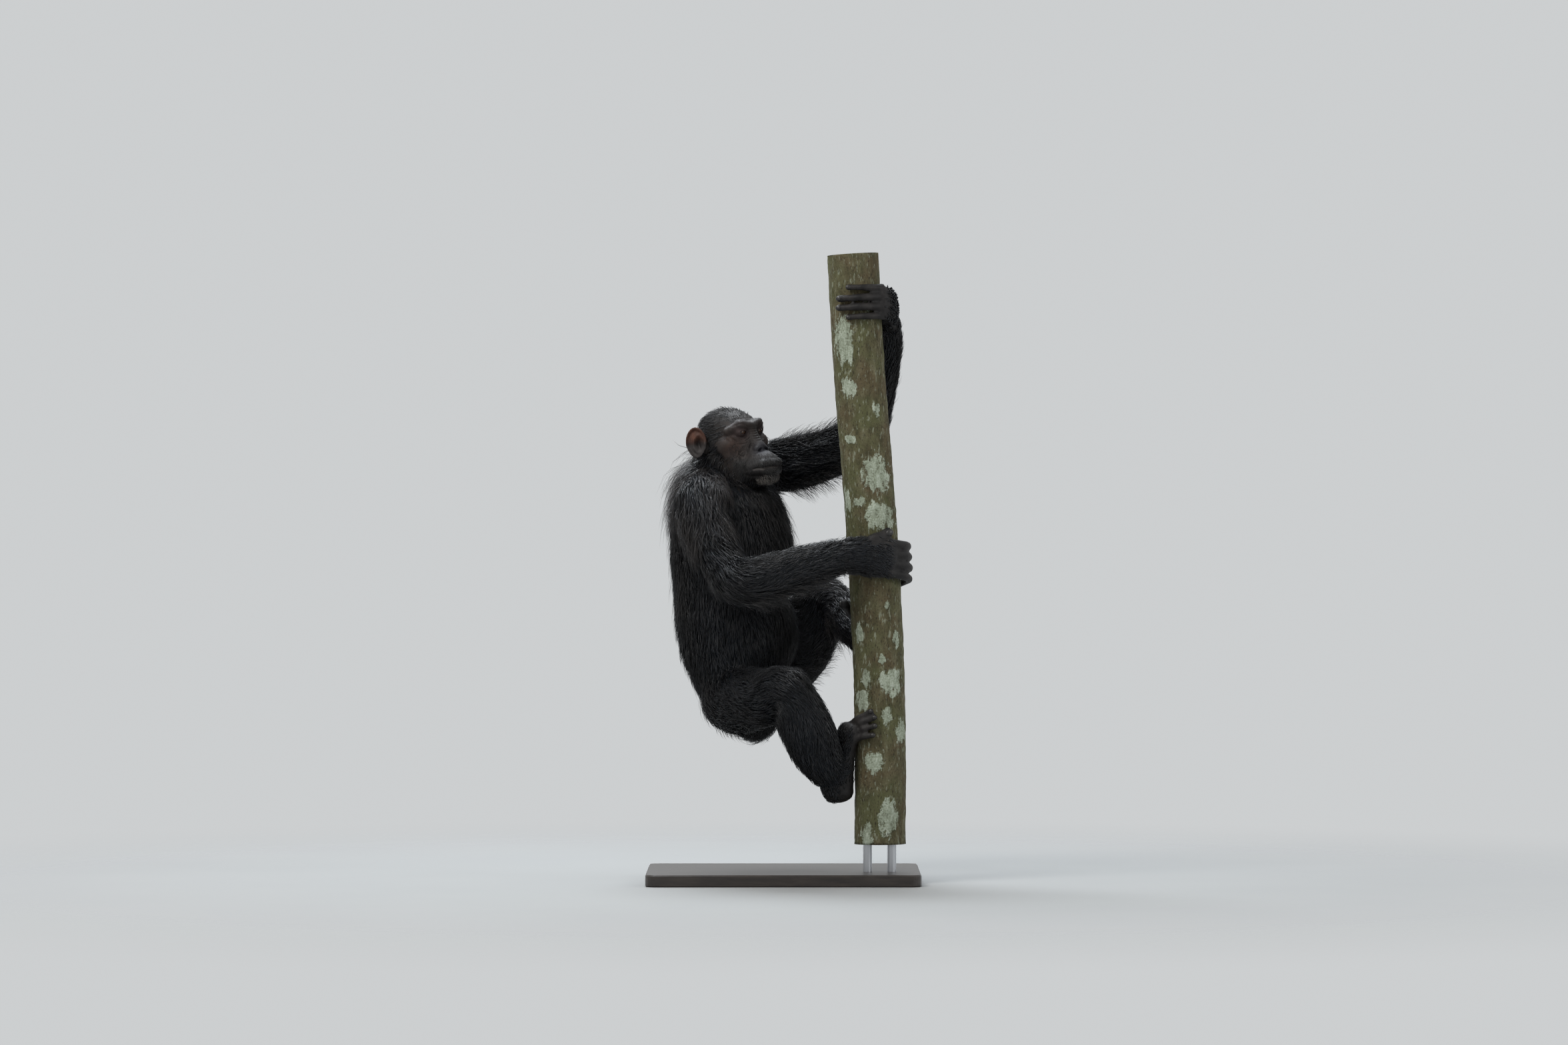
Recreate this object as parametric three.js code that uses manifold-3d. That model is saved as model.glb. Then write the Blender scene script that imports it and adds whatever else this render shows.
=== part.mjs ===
// A chimpanzee climbing a slim tree trunk, as a still, life-size museum model on a display stand.
// Units are millimetres and +Z is up. The origin is the centre of the stand's underside.
// The animal faces between +X and -Y, towards the trunk, and the trunk stands to its front.
import * as THREE from "three";
import { mergeVertices } from "three/addons/utils/BufferGeometryUtils.js";
import Module from "manifold-3d";

const wasm = await Module();
wasm.setup();

const v = (x, y, z) => new THREE.Vector3(x, y, z);
const radians = THREE.MathUtils.degToRad;
const up = v(0, 0, 1);

// Driving dimensions
const gap = 0.3; // between touching nodes
const base = { wide: 680, deep: 520, thick: 30, corner: 24, bevel: 3 };
const rod = { radius: 11, apart: 60, sides: 20 };
const trunk = {
  radius: 64,
  lobe: 1.4, // how far the bark swells in and out
  axis: [
    v(239, -120, 100),
    v(238, -120, 537),
    v(218, -120, 870),
    v(194, -120, 1203),
    v(172, -120, 1562),
  ],
};
const torsoYaw = -30; // degrees from +X, towards the viewer's side
const headPose = { at: v(-136, 65, 1088), yaw: -47, pitch: 4, roll: 6 };
const forward = v(Math.cos(radians(torsoYaw)), Math.sin(radians(torsoYaw)), 0);

// Joint centres of the climbing pose
const joints = {
  shoulderRight: v(-213, -50, 957),
  elbowRight: v(-125, -205, 740),
  wristRight: v(152, -223, 817),
  shoulderLeft: v(-25, 180, 1042),
  elbowLeft: v(212, 4, 1120),
  wristLeft: v(261, -54, 1390),
  hipRight: v(-138, 12, 455),
  kneeRight: v(2, -200, 495),
  ankleRight: v(120, -150, 270),
  hipLeft: v(-70, 142, 470),
  kneeLeft: v(95, 180, 690),
  ankleLeft: v(215, 0, 592),
};

// Turning geometries into solids and back
function solidOf(geometry) {
  const plain = geometry.index ? geometry.toNonIndexed() : geometry.clone();
  plain.deleteAttribute("normal");
  plain.deleteAttribute("uv");
  const merged = mergeVertices(plain, 1e-4);
  const mesh = { numProp: 3, vertProperties: merged.attributes.position.array };
  const made = new wasm.Manifold(new wasm.Mesh({ ...mesh, triVerts: new Uint32Array(merged.index.array) }));
  if (made.volume() > 0) return made;
  const flipped = new Uint32Array(merged.index.array);
  for (let i = 0; i < flipped.length; i += 3) {
    [flipped[i], flipped[i + 1]] = [flipped[i + 1], flipped[i]];
  }
  return new wasm.Manifold(new wasm.Mesh({ ...mesh, triVerts: flipped }));
}

function geometryOf(solid) {
  const mesh = solid.getMesh();
  const geometry = new THREE.BufferGeometry();
  geometry.setAttribute("position", new THREE.BufferAttribute(new Float32Array(mesh.vertProperties), 3));
  geometry.setIndex(new THREE.BufferAttribute(new Uint32Array(mesh.triVerts), 1));
  geometry.computeVertexNormals();
  return geometry;
}

const curveThrough = (points) => new THREE.CatmullRomCurve3(points, false, "catmullrom", 0.5);
const unite = (solids) => solids.reduce((whole, piece) => whole.add(piece));
const largest = (solid) => solid.decompose().reduce((a, b) => (a.volume() > b.volume() ? a : b));

// A closed tube through stations {at, wide, deep}: an ellipse at each, with domed or flat ends.
// face gives the direction of the deep axis at a point, and the wide axis is square to it.
function loft({ stations, face, sides = 12, rings = 8, domes = [0.7, 0.7], ripple = () => 0 }) {
  const path = curveThrough(stations.map((s) => s.at));
  const sizes = curveThrough(stations.map((s) => v(s.wide, s.deep, 0)));
  function frame(t) {
    const centre = path.getPoint(t);
    const along = path.getTangent(t);
    const facing = typeof face === "function" ? face(centre) : face;
    const deepAxis = facing.clone().addScaledVector(along, -facing.dot(along)).normalize();
    const wideAxis = along.clone().cross(deepAxis);
    const { x: wide, y: deep } = sizes.getPoint(t);
    return { centre, along, deepAxis, wideAxis, wide, deep };
  }
  // The point of the surface at t along the path and angle round it, and the way out there.
  function surface(t, angle, grow = 0) {
    const f = frame(t);
    const swell = grow + ripple(angle, f.centre.z);
    const at = f.centre
      .clone()
      .addScaledVector(f.wideAxis, (f.wide + swell) * Math.cos(angle))
      .addScaledVector(f.deepAxis, (f.deep + swell) * Math.sin(angle));
    const out = v(0, 0, 0)
      .addScaledVector(f.wideAxis, Math.cos(angle) / f.wide)
      .addScaledVector(f.deepAxis, Math.sin(angle) / f.deep)
      .normalize();
    return { at, out, along: f.along };
  }
  function solid(grow = 0) {
    const loops = [];
    const ring = (t, scale, shift) => {
      const f = frame(t);
      const points = [];
      for (let j = 0; j < sides; j++) {
        const { at } = surface(t, (2 * Math.PI * j) / sides, grow);
        points.push(at.sub(f.centre).multiplyScalar(scale).add(f.centre).addScaledVector(f.along, shift));
      }
      return points;
    };
    const domeAt = (t, sign, size) => {
      const f = frame(t);
      const height = size * Math.min(f.wide, f.deep) + grow;
      const bend = radians(48);
      return {
        shoulder: size > 0 ? [ring(t, Math.cos(bend), sign * height * Math.sin(bend))] : [],
        pole: f.centre.clone().addScaledVector(f.along, sign * height),
      };
    };
    const start = domeAt(0, -1, domes[0]);
    const end = domeAt(1, 1, domes[1]);
    loops.push(...start.shoulder);
    for (let i = 0; i < rings; i++) loops.push(ring(i / (rings - 1), 1, 0));
    loops.push(...end.shoulder);
    const positions = [start.pole, ...loops.flat(), end.pole].flatMap((p) => [p.x, p.y, p.z]);
    const index = [];
    const last = loops.length * sides + 1;
    for (let j = 0; j < sides; j++) {
      const next = (j + 1) % sides;
      index.push(0, 1 + next, 1 + j);
      for (let i = 0; i + 1 < loops.length; i++) {
        const a = 1 + i * sides + j;
        const b = 1 + i * sides + next;
        index.push(a, b, b + sides, a, b + sides, a + sides);
      }
      index.push(last, last - sides + j, last - sides + next);
    }
    const geometry = new THREE.BufferGeometry();
    geometry.setAttribute("position", new THREE.Float32BufferAttribute(positions, 3));
    geometry.setIndex(index);
    return solidOf(geometry);
  }
  // The point a distance on from t, which goes on straight past the ends.
  function walk(t, angle, distance) {
    const wanted = t + distance / path.getLength();
    const held = THREE.MathUtils.clamp(wanted, 0, 1);
    const reached = surface(held, angle);
    reached.at.addScaledVector(reached.along, (wanted - held) * path.getLength());
    return reached;
  }
  return { surface, walk, solid };
}

const station = (at, wide, deep = wide) => ({ at, wide, deep });

// Locks of the coat
let seed = 11;
function random(low, high) {
  seed = (seed * 16807) % 2147483647;
  return low + ((high - low) * seed) / 2147483647;
}

// A flat, tapering lock: its root is sunk in the body, and it follows the body's shape to a raised tip.
const lockShape = [
  { share: -0.1, height: -15, size: 0.75 },
  { share: 0.28, height: 3, size: 1 },
  { share: 0.68, height: 5, size: 0.68 },
];
const lockThick = 12;
const lockTipHeight = 2;
function lock({ body, t, angle, swerve, toward, pull, length, wide, lift }) {
  const above = (share, height) => {
    const reached = body.walk(t, angle + swerve * share, toward * share * length);
    reached.at.addScaledVector(reached.out, height + lift * Math.max(share, 0) ** 2);
    reached.at.addScaledVector(pull, length * Math.max(share, 0) ** 2);
    return reached;
  };
  const tip = above(1, lockTipHeight).at;
  const beforeTip = lockShape.at(-1);
  const tipwards = tip.clone().sub(above(beforeTip.share, beforeTip.height).at).normalize();
  return {
    solid(grow = 0) {
      const points = [];
      for (const { share, height, size } of lockShape) {
        const { at, out } = above(share, height);
        const lie = above(share + 0.1, height).at.sub(at).normalize();
        const across = lie.clone().cross(out).normalize();
        const half = across.clone().multiplyScalar((wide / 2) * size + grow);
        const depth = across.cross(lie).multiplyScalar((lockThick / 2) * size + grow);
        for (const corner of [half, depth, half.clone().negate(), depth.clone().negate()]) {
          points.push(at.clone().add(corner));
        }
      }
      points.push(tip.clone().addScaledVector(tipwards, 5 * grow));
      const index = [0, 2, 1, 0, 3, 2];
      for (let j = 0; j < 4; j++) {
        const next = (j + 1) % 4;
        for (const row of [0, 4]) {
          index.push(row + j, row + next, row + next + 4);
          index.push(row + j, row + next + 4, row + j + 4);
        }
        index.push(8 + j, 8 + next, 12);
      }
      const geometry = new THREE.BufferGeometry().setFromPoints(points);
      geometry.setIndex(index);
      return solidOf(geometry);
    },
  };
}

// A row of locks from one place on a body to another. They lie along the body, or against it where toward is
// -1, with a pull such as the weight of the hair, and each is a little unlike the next.
function lockRow(body, { from, to, count, toward = 1, pull = v(0, 0, 0), length, wide, lift = 5 }) {
  const locks = [];
  for (let i = 0; i < count; i++) {
    const share = count > 1 ? i / (count - 1) : 0.5;
    const t = THREE.MathUtils.lerp(from.t, to.t, share) + random(-0.015, 0.015);
    const angle = radians(THREE.MathUtils.lerp(from.angle, to.angle, share) + random(-3, 3));
    locks.push(
      lock({
        body,
        t,
        angle,
        swerve: random(-0.14, 0.14),
        toward,
        pull,
        length: length * random(0.88, 1.12),
        wide: wide * random(0.9, 1.1),
        lift: lift * random(0.5, 1.5),
      }),
    );
  }
  return locks;
}

// An ellipsoid with its own turn, as a piece that can grow.
function ellipsoid(at, size, turn = new THREE.Euler(), detail = [14, 10]) {
  return {
    solid(grow = 0) {
      const geometry = new THREE.SphereGeometry(1, ...detail);
      const matrix = new THREE.Matrix4().makeRotationFromEuler(turn);
      matrix.setPosition(at);
      geometry.applyMatrix4(new THREE.Matrix4().makeScale(size.x + grow, size.y + grow, size.z + grow));
      return solidOf(geometry.applyMatrix4(matrix));
    },
  };
}

// The trunk and the grip on it
const trunkCentres = curveThrough(trunk.axis).getPoints(80);
function trunkCentre(z) {
  const above = Math.max(1, trunkCentres.findIndex((p) => p.z >= z));
  const [low, high] = [trunkCentres[above - 1], trunkCentres[above]];
  return low.clone().lerp(high, (z - low.z) / (high.z - low.z));
}

const awayFromTrunk = (p) => p.clone().sub(trunkCentre(p.z)).setZ(0).normalize();

// A point round the trunk: an angle from +X, turning towards +Y, a clearance from the bark, and a height.
function round(angle, clearance, z) {
  const reach = trunk.radius + trunk.lobe + clearance;
  return trunkCentre(z).add(v(Math.cos(radians(angle)), Math.sin(radians(angle)), 0).multiplyScalar(reach));
}

// A finger or toe bent round the trunk from a root to a tip {angle, z}, standing off at its knuckle.
function digit({ from, to, radius, standOff = 2, bow = 4, steps = 5 }) {
  const stations = [];
  for (let i = 0; i < steps; i++) {
    const t = i / (steps - 1);
    const angle = THREE.MathUtils.lerp(from.angle, to.angle, t);
    const z = THREE.MathUtils.lerp(from.z, to.z, t);
    const thick = radius * (1 - 0.2 * t + 0.08 * Math.cos(4 * Math.PI * t));
    const clearance = thick + standOff + bow * Math.sin(Math.PI * (0.15 + 0.85 * t));
    stations.push(station(round(angle, clearance, z), thick));
  }
  return loft({ stations, face: awayFromTrunk, sides: 6, rings: 6, domes: [0.4, 0.9] });
}

// The stand and the perch
function standBase() {
  const { wide, deep, thick, corner, bevel } = base;
  const x = wide / 2 - bevel;
  const y = deep / 2 - bevel;
  const outline = new THREE.Shape();
  outline.absarc(x - corner, y - corner, corner, 0, Math.PI / 2);
  outline.absarc(corner - x, y - corner, corner, Math.PI / 2, Math.PI);
  outline.absarc(corner - x, corner - y, corner, Math.PI, 1.5 * Math.PI);
  outline.absarc(x - corner, corner - y, corner, 1.5 * Math.PI, 2 * Math.PI);
  const shape = { depth: thick - 2 * bevel, bevelThickness: bevel, bevelSize: bevel };
  const geometry = new THREE.ExtrudeGeometry(outline, { ...shape, bevelSegments: 1, curveSegments: 3 });
  return solidOf(geometry.translate(0, 0, bevel));
}

function standRod(offset) {
  const foot = trunkCentre(trunk.axis[0].z);
  const length = foot.z - base.thick - 2 * gap;
  const geometry = new THREE.CylinderGeometry(rod.radius, rod.radius, length, rod.sides);
  geometry.rotateX(Math.PI / 2);
  return solidOf(geometry.translate(foot.x + offset, foot.y, base.thick + gap + length / 2));
}

const perchTrunk = loft({
  stations: trunk.axis.map((at) => station(at, trunk.radius)),
  face: v(0, 1, 0),
  sides: 18,
  rings: 11,
  domes: [0, 0],
  ripple: (angle, z) => trunk.lobe * Math.sin(3 * angle + z / 120) * Math.cos(2 * angle - z / 210),
});

// The head, in its own frame: +X forwards, +Y to the animal's left, +Z up, from between the ear canals
const headMatrix = new THREE.Matrix4().makeRotationFromEuler(
  new THREE.Euler(radians(headPose.roll), radians(-headPose.pitch), radians(headPose.yaw), "ZYX"),
);
headMatrix.setPosition(headPose.at);
const inHead = (x, y, z) => v(x, y, z).applyMatrix4(headMatrix);
const skull = {
  cranium: { at: v(-2, 0, 30), size: v(82, 65, 65) },
  forehead: { at: v(44, 0, 36), size: v(44, 46, 34) },
  midface: { at: v(66, 0, -6), size: v(38, 48, 46) },
  muzzle: { at: v(92, 0, -53), size: v(64, 45, 39) },
  jaw: { at: v(66, 0, -66), size: v(78, 50, 36) },
  chin: { at: v(128, 0, -82), size: v(24, 26, 20) },
};
const eye = { at: v(79, 29, 33), radius: 12.5, lids: v(14.8, 15.6, 14.6), opening: v(20, 10.5, 4.6) };
const ear = { at: v(-24, 86, 20), tall: 39, wide: 27, thick: 9, swing: 32, tilt: 10 };
const headCore = v(42, 0, -4); // where the rays that find the head's surface start

const blend = (a, b, soft) => {
  const h = Math.max(soft - Math.abs(a - b), 0) / soft;
  return Math.min(a, b) - (h * h * soft) / 4;
};

function ellipsoidDistance(p, { at, size }) {
  const q = p.clone().sub(at);
  const near = q.clone().divide(size).length();
  const steep = q.clone().divide(size).divide(size).length();
  return (near * (near - 1)) / Math.max(steep, 1e-6);
}

function barDistance(p, a, b, startRadius, endRadius) {
  const span = b.clone().sub(a);
  const t = THREE.MathUtils.clamp(p.clone().sub(a).dot(span) / span.lengthSq(), 0, 1);
  return p.distanceTo(a.clone().addScaledVector(span, t)) - THREE.MathUtils.lerp(startRadius, endRadius, t);
}

// The distance to the head's skin, negative inside. The left half is measured, as both are the same.
function headDistance(point) {
  const p = v(point.x, Math.abs(point.y), point.z);
  let d = ellipsoidDistance(p, skull.cranium);
  d = blend(d, ellipsoidDistance(p, skull.forehead), 22);
  d = blend(d, ellipsoidDistance(p, skull.midface), 18);
  d = blend(d, ellipsoidDistance(p, skull.muzzle), 20);
  d = blend(d, ellipsoidDistance(p, skull.jaw), 22);
  d = blend(d, ellipsoidDistance(p, skull.chin), 16);
  d = blend(d, barDistance(p, v(64, 54, 8), v(22, 62, 8), 12, 10), 22); // cheekbone
  d = blend(d, barDistance(p, v(6, 48, -30), v(62, 42, -76), 20, 18), 24); // angle of the jaw
  d = blend(d, barDistance(p, v(50, 60, -4), v(72, 46, -44), 12, 12), 30); // cheek
  d = -blend(-d, barDistance(p, v(93, 30, 33), v(112, 38, 28), 11, 14), 16); // eye socket
  d = blend(d, barDistance(p, v(60, 57, 39), v(84, 30, 50), 9, 10), 12); // brow ridge
  d = blend(d, barDistance(p, v(84, 30, 50), v(91, 0, 46), 10, 9), 12);
  d = blend(d, ellipsoidDistance(p, { at: eye.at, size: eye.lids }), 4); // eyelids
  d = blend(d, barDistance(p, v(84, 0, 34), v(110, 0, -4), 9, 12), 14); // bridge of the nose
  d = blend(d, barDistance(p, v(117, 0, -9), v(115, 14, -14), 9, 7.5), 7); // wing of the nose
  d = blend(d, barDistance(p, v(156, 0, -53), v(143, 26, -53), 8, 8), 8); // upper lip
  d = blend(d, barDistance(p, v(143, 26, -53), v(110, 42, -58), 8, 5), 8);
  d = blend(d, barDistance(p, v(155, 0, -70), v(141, 25, -70), 8, 8), 8); // lower lip
  return blend(d, barDistance(p, v(141, 25, -70), v(110, 41, -67), 8, 5), 8);
}

// The head's surface in a direction from its core, found by closing in on the outermost crossing.
function headSurface(direction, grow = 0) {
  const at = (reach) => headCore.clone().addScaledVector(direction, reach);
  let outside = 190;
  while (outside > 20 && headDistance(at(outside - 4)) > 0) outside -= 4;
  let inside = outside - 4;
  for (let i = 0; i < 12; i++) {
    const middle = (inside + outside) / 2;
    if (headDistance(at(middle)) > 0) outside = middle;
    else inside = middle;
  }
  return at(outside + grow);
}

// Rings round an axis through the middle of the face, closer together there than behind.
const headGrid = { rings: 24, segments: 37, crowding: 1.3, axisDrop: 22 };
const headBody = {
  solid(grow = 0) {
    const geometry = new THREE.SphereGeometry(1, headGrid.segments, headGrid.rings);
    const positions = geometry.attributes.position;
    const turn = new THREE.Euler(0, radians(headGrid.axisDrop), 0);
    for (let i = 0; i < positions.count; i++) {
      const p = v(0, 0, 0).fromBufferAttribute(positions, i);
      const polar = Math.PI * (Math.acos(THREE.MathUtils.clamp(p.y, -1, 1)) / Math.PI) ** headGrid.crowding;
      const turnAbout = Math.atan2(p.z, p.x);
      const across = Math.sin(polar);
      const sideways = across * Math.cos(turnAbout);
      const direction = v(Math.cos(polar), sideways, across * Math.sin(turnAbout));
      const skin = headSurface(direction.applyEuler(turn), grow).applyMatrix4(headMatrix);
      positions.setXYZ(i, skin.x, skin.y, skin.z);
    }
    return solidOf(geometry);
  },
};

// The point of the head's surface seen from the core through a point
const towards = (x, y, z) => headSurface(v(x, y, z).sub(headCore).normalize());
const eyeSize = v(eye.radius, eye.radius, eye.radius);
function eyeball(side) {
  return ellipsoid(inHead(eye.at.x, side * eye.at.y, eye.at.z), eyeSize, new THREE.Euler(), [12, 8]);
}

// A groove along the mouth, pressed in where the lips meet.
function mouthLine() {
  const stations = [];
  for (let i = 0; i <= 12; i++) {
    const swing = radians(-66 + 11 * i);
    const height = -61.5 - 1.5 * Math.abs(Math.sin(swing));
    const reach = towards(100 + 60 * Math.cos(swing), 46 * Math.sin(swing), height);
    const size = 2.6 * Math.cos(swing * 0.9) ** 0.3;
    stations.push(station(reach.applyMatrix4(headMatrix), size, size * 0.8));
  }
  return loft({ stations, face: up, sides: 4, rings: 12, domes: [0.5, 0.5] }).solid();
}

function nostril(side) {
  const at = towards(122, side * 10, -17);
  return ellipsoid(at.applyMatrix4(headMatrix), v(6, 4.2, 4.8), new THREE.Euler(), [8, 6]).solid();
}

// The almond opening between the lids
function lidOpening(side) {
  const at = inHead(eye.at.x + 16, side * (eye.at.y + 1.5), eye.at.z - 1.5);
  const roll = radians(headPose.roll + side * 6);
  const turn = new THREE.Euler(roll, 0, radians(headPose.yaw + side * 8), "ZYX");
  return ellipsoid(at, eye.opening, turn, [10, 6]).solid();
}

function headNode() {
  const cuts = [mouthLine(), nostril(1), nostril(-1), lidOpening(1), lidOpening(-1)];
  cuts.push(eyeball(1).solid(gap), eyeball(-1).solid(gap));
  return cuts.reduce((whole, cut) => whole.subtract(cut), headBody.solid());
}

// An ear: an oval dish set on the side of the head, with a scooped cup and a thick rim.
function earPieces(side) {
  const facing = radians(side * (90 - ear.swing));
  const lean = new THREE.Euler(0, radians(-ear.tilt), facing, "ZYX");
  const leaning = new THREE.Matrix4().makeRotationFromEuler(lean);
  const turn = new THREE.Euler().setFromRotationMatrix(
    new THREE.Matrix4().extractRotation(headMatrix).multiply(leaning),
  );
  const out = v(Math.cos(facing), Math.sin(facing), 0);
  const centre = v(ear.at.x, side * ear.at.y, ear.at.z);
  const inEar = (x, z, push) => {
    const rimwards = v(-out.y * side, out.x * side, 0);
    return centre.clone().addScaledVector(rimwards, x).add(v(0, 0, z)).addScaledVector(out, push);
  };
  const world = (p) => p.applyMatrix4(headMatrix);
  const dish = ellipsoid(world(inEar(0, 0, 0)), v(ear.thick, ear.wide, ear.tall), turn, [12, 9]);
  const cup = ellipsoid(world(inEar(2, 3, ear.thick)), v(9, ear.wide - 8, ear.tall - 9), turn, [10, 8]);
  const canal = ellipsoid(world(inEar(-8, -6, 3)), v(8, 7, 10), turn, [8, 6]);
  return { dish, cut: cup.solid().add(canal.solid()) };
}

const neckBody = loft({
  stations: [
    station(v(-172, 86, 950), 84, 80),
    station(v(-168, 84, 1003), 74, 74),
    station(v(-156, 78, 1048), 66, 68),
    station(v(-142, 70, 1082), 60, 62),
  ],
  face: forward,
  sides: 14,
  rings: 7,
});

// The trunk of the body, from the rump up to the root of the neck
const torsoBody = loft({
  stations: [
    station(v(-78, 62, 385), 66, 44),
    station(v(-80, 68, 425), 112, 80),
    station(v(-94, 75, 480), 136, 102),
    station(v(-115, 80, 560), 150, 118),
    station(v(-129, 81, 650), 158, 127),
    station(v(-139, 85, 753), 160, 127),
    station(v(-146, 85, 850), 161, 123),
    station(v(-154, 84, 920), 154, 115),
    station(v(-165, 84, 975), 120, 100),
  ],
  face: forward,
  sides: 18,
  rings: 13,
});
const bellyTurn = new THREE.Euler(0, 0, radians(torsoYaw));
const belly = ellipsoid(v(-86, 55, 620), v(114, 132, 150), bellyTurn, [14, 9]);
const chestBody = loft({
  stations: [
    station(v(-98, 54, 690), 110, 84),
    station(v(-92, 52, 770), 134, 106),
    station(v(-90, 50, 850), 138, 108),
    station(v(-96, 54, 930), 122, 90),
    station(v(-110, 60, 990), 84, 60),
  ],
  face: forward,
  sides: 14,
  rings: 7,
});
const shoulderYoke = loft({
  stations: [
    station(v(-203, -38, 948), 50, 50),
    station(v(-185, 25, 968), 50, 56),
    station(v(-160, 84, 975), 56, 62),
    station(v(-105, 130, 990), 54, 56),
    station(v(-45, 168, 1025), 52, 50),
  ],
  face: up,
  sides: 10,
  rings: 8,
});
const torsoPieces = [torsoBody, belly, chestBody, shoulderYoke];

// Limbs, each as stations along its bones
const { shoulderRight, elbowRight, wristRight, shoulderLeft, elbowLeft, wristLeft } = joints;
const { hipRight, kneeRight, ankleRight, hipLeft, kneeLeft, ankleLeft } = joints;
const upperArmRight = loft({
  stations: [
    station(shoulderRight, 60, 62),
    station(v(-190, -92, 887), 56, 60),
    station(v(-162, -142, 818), 48, 52),
    station(elbowRight, 44, 46),
  ],
  face: v(-1, 0, 0),
  sides: 13,
});
const forearmRight = loft({
  stations: [
    station(elbowRight, 47, 46),
    station(v(-70, -217, 752), 56, 50),
    station(v(10, -226, 775), 53, 44),
    station(v(92, -229, 800), 46, 36),
    station(wristRight, 41, 30),
  ],
  face: v(0, -1, 0),
});
const upperArmLeft = loft({
  stations: [
    station(shoulderLeft, 62, 66),
    station(v(28, 143, 1048), 58, 64),
    station(v(92, 92, 1064), 54, 62),
    station(v(160, 42, 1088), 48, 56),
    station(elbowLeft, 44, 48),
  ],
  face: up,
  sides: 13,
});
const forearmLeft = loft({
  stations: [
    station(elbowLeft, 44, 44),
    station(v(229, -10, 1203), 48, 47),
    station(v(243, -18, 1270), 46, 44),
    station(v(257, -33, 1335), 40, 37),
    station(wristLeft, 34, 29),
  ],
  face: awayFromTrunk,
});
const thighRight = loft({
  stations: [
    station(hipRight, 82, 74),
    station(v(-94, -68, 450), 80, 72),
    station(v(-44, -148, 462), 70, 64),
    station(kneeRight, 54, 54),
  ],
  face: v(1, 0, 0),
  sides: 14,
});
const lowerLegRight = loft({
  stations: [
    station(kneeRight, 54, 58),
    station(v(30, -203, 447), 53, 64),
    station(v(60, -197, 385), 52, 68),
    station(v(86, -178, 322), 45, 60),
    station(ankleRight, 38, 46),
  ],
  face: v(-1, 0, 0),
});
const thighLeft = loft({
  stations: [
    station(hipLeft, 84, 80),
    station(v(12, 168, 554), 78, 84),
    station(v(66, 180, 628), 68, 76),
    station(kneeLeft, 56, 58),
  ],
  face: v(1, 0, -1),
  sides: 14,
});
const lowerLegLeft = loft({
  stations: [
    station(kneeLeft, 54, 54),
    station(v(130, 140, 672), 50, 54),
    station(v(172, 72, 638), 44, 48),
    station(ankleLeft, 36, 39),
  ],
  face: v(-1, 0, 1),
});

// Hands: a palm bent to the trunk, four fingers and a short thumb
const palmRight = loft({
  stations: [
    station(wristRight, 40, 29),
    station(round(-108, 25, 815), 47, 24),
    station(round(-82, 21, 812), 50, 21),
    station(round(-58, 19, 809), 47, 18),
  ],
  face: awayFromTrunk,
  rings: 7,
});
const fingersRight = [0, 1, 2, 3].map((i) =>
  digit({
    from: { angle: -66, z: 845 - 24 * i },
    to: { angle: 52 - 9 * Math.abs(i - 1.3), z: 832 - 29 * i },
    radius: i === 3 ? 11.5 : 13,
    bow: 9,
    steps: 6,
  }),
);
const thumbRight = digit({ from: { angle: -112, z: 846 }, to: { angle: -54, z: 884 }, radius: 15, bow: 3 });
const palmLeft = loft({
  stations: [
    station(wristLeft, 34, 28),
    station(round(30, 24, 1412), 38, 22),
    station(round(10, 21, 1427), 40, 20),
    station(round(-16, 19, 1437), 42, 18),
    station(round(-40, 18, 1441), 41, 16),
  ],
  face: awayFromTrunk,
  rings: 9,
});
const fingersLeft = [
  { z: [1473, 1474], tip: -103, radius: 10.5 },
  { z: [1460, 1444], tip: -122, radius: 11.5 },
  { z: [1436, 1429], tip: -124, radius: 11.5 },
  { z: [1412, 1406], tip: -106, radius: 10.5 },
].map(({ z, tip, radius }) =>
  digit({ from: { angle: -34, z: z[0] }, to: { angle: tip, z: z[1] }, radius, bow: 3, steps: 6 }),
);
const thumbLeft = digit({ from: { angle: 40, z: 1428 }, to: { angle: 108, z: 1468 }, radius: 14, bow: 3 });

// Feet: a heel and sole pressed to the trunk, four toes and a grasping big toe
const soleRight = loft({
  stations: [
    station(round(192, 38, 224), 31, 37),
    station(round(192, 42, 260), 35, 41),
    station(round(196, 28, 323), 37, 27),
    station(round(203, 21, 372), 41, 20),
    station(round(205, 17, 392), 38, 15),
  ],
  face: awayFromTrunk,
  rings: 9,
});
const toesRight = [
  { from: { angle: 196, z: 392 }, to: { angle: 252, z: 431 } },
  { from: { angle: 206, z: 388 }, to: { angle: 259, z: 416 } },
  { from: { angle: 216, z: 379 }, to: { angle: 260, z: 395 } },
  { from: { angle: 225, z: 366 }, to: { angle: 256, z: 372 } },
].map(({ from, to }) => digit({ from, to, radius: 10.5, bow: 3 }));
const bigToeRight = digit({ from: { angle: 184, z: 352 }, to: { angle: 118, z: 384 }, radius: 15, bow: 3 });
const soleLeft = loft({
  stations: [
    station(round(98, 37, 535), 30, 36),
    station(round(97, 39, 565), 34, 38),
    station(round(94, 28, 620), 37, 27),
    station(round(88, 21, 668), 41, 20),
    station(round(86, 17, 688), 38, 15),
  ],
  face: awayFromTrunk,
  rings: 9,
});
const toesLeft = [0, 1, 2, 3].map((i) =>
  digit({
    from: { angle: 97 - 10.5 * i, z: 692 - 4 * i * i },
    to: { angle: 86 - 12 * i, z: 742 - 5 * i * i },
    radius: 10.5,
    bow: 3,
  }),
);
const bigToeLeft = digit({ from: { angle: 106, z: 650 }, to: { angle: 166, z: 694 }, radius: 15, bow: 3 });

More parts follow.
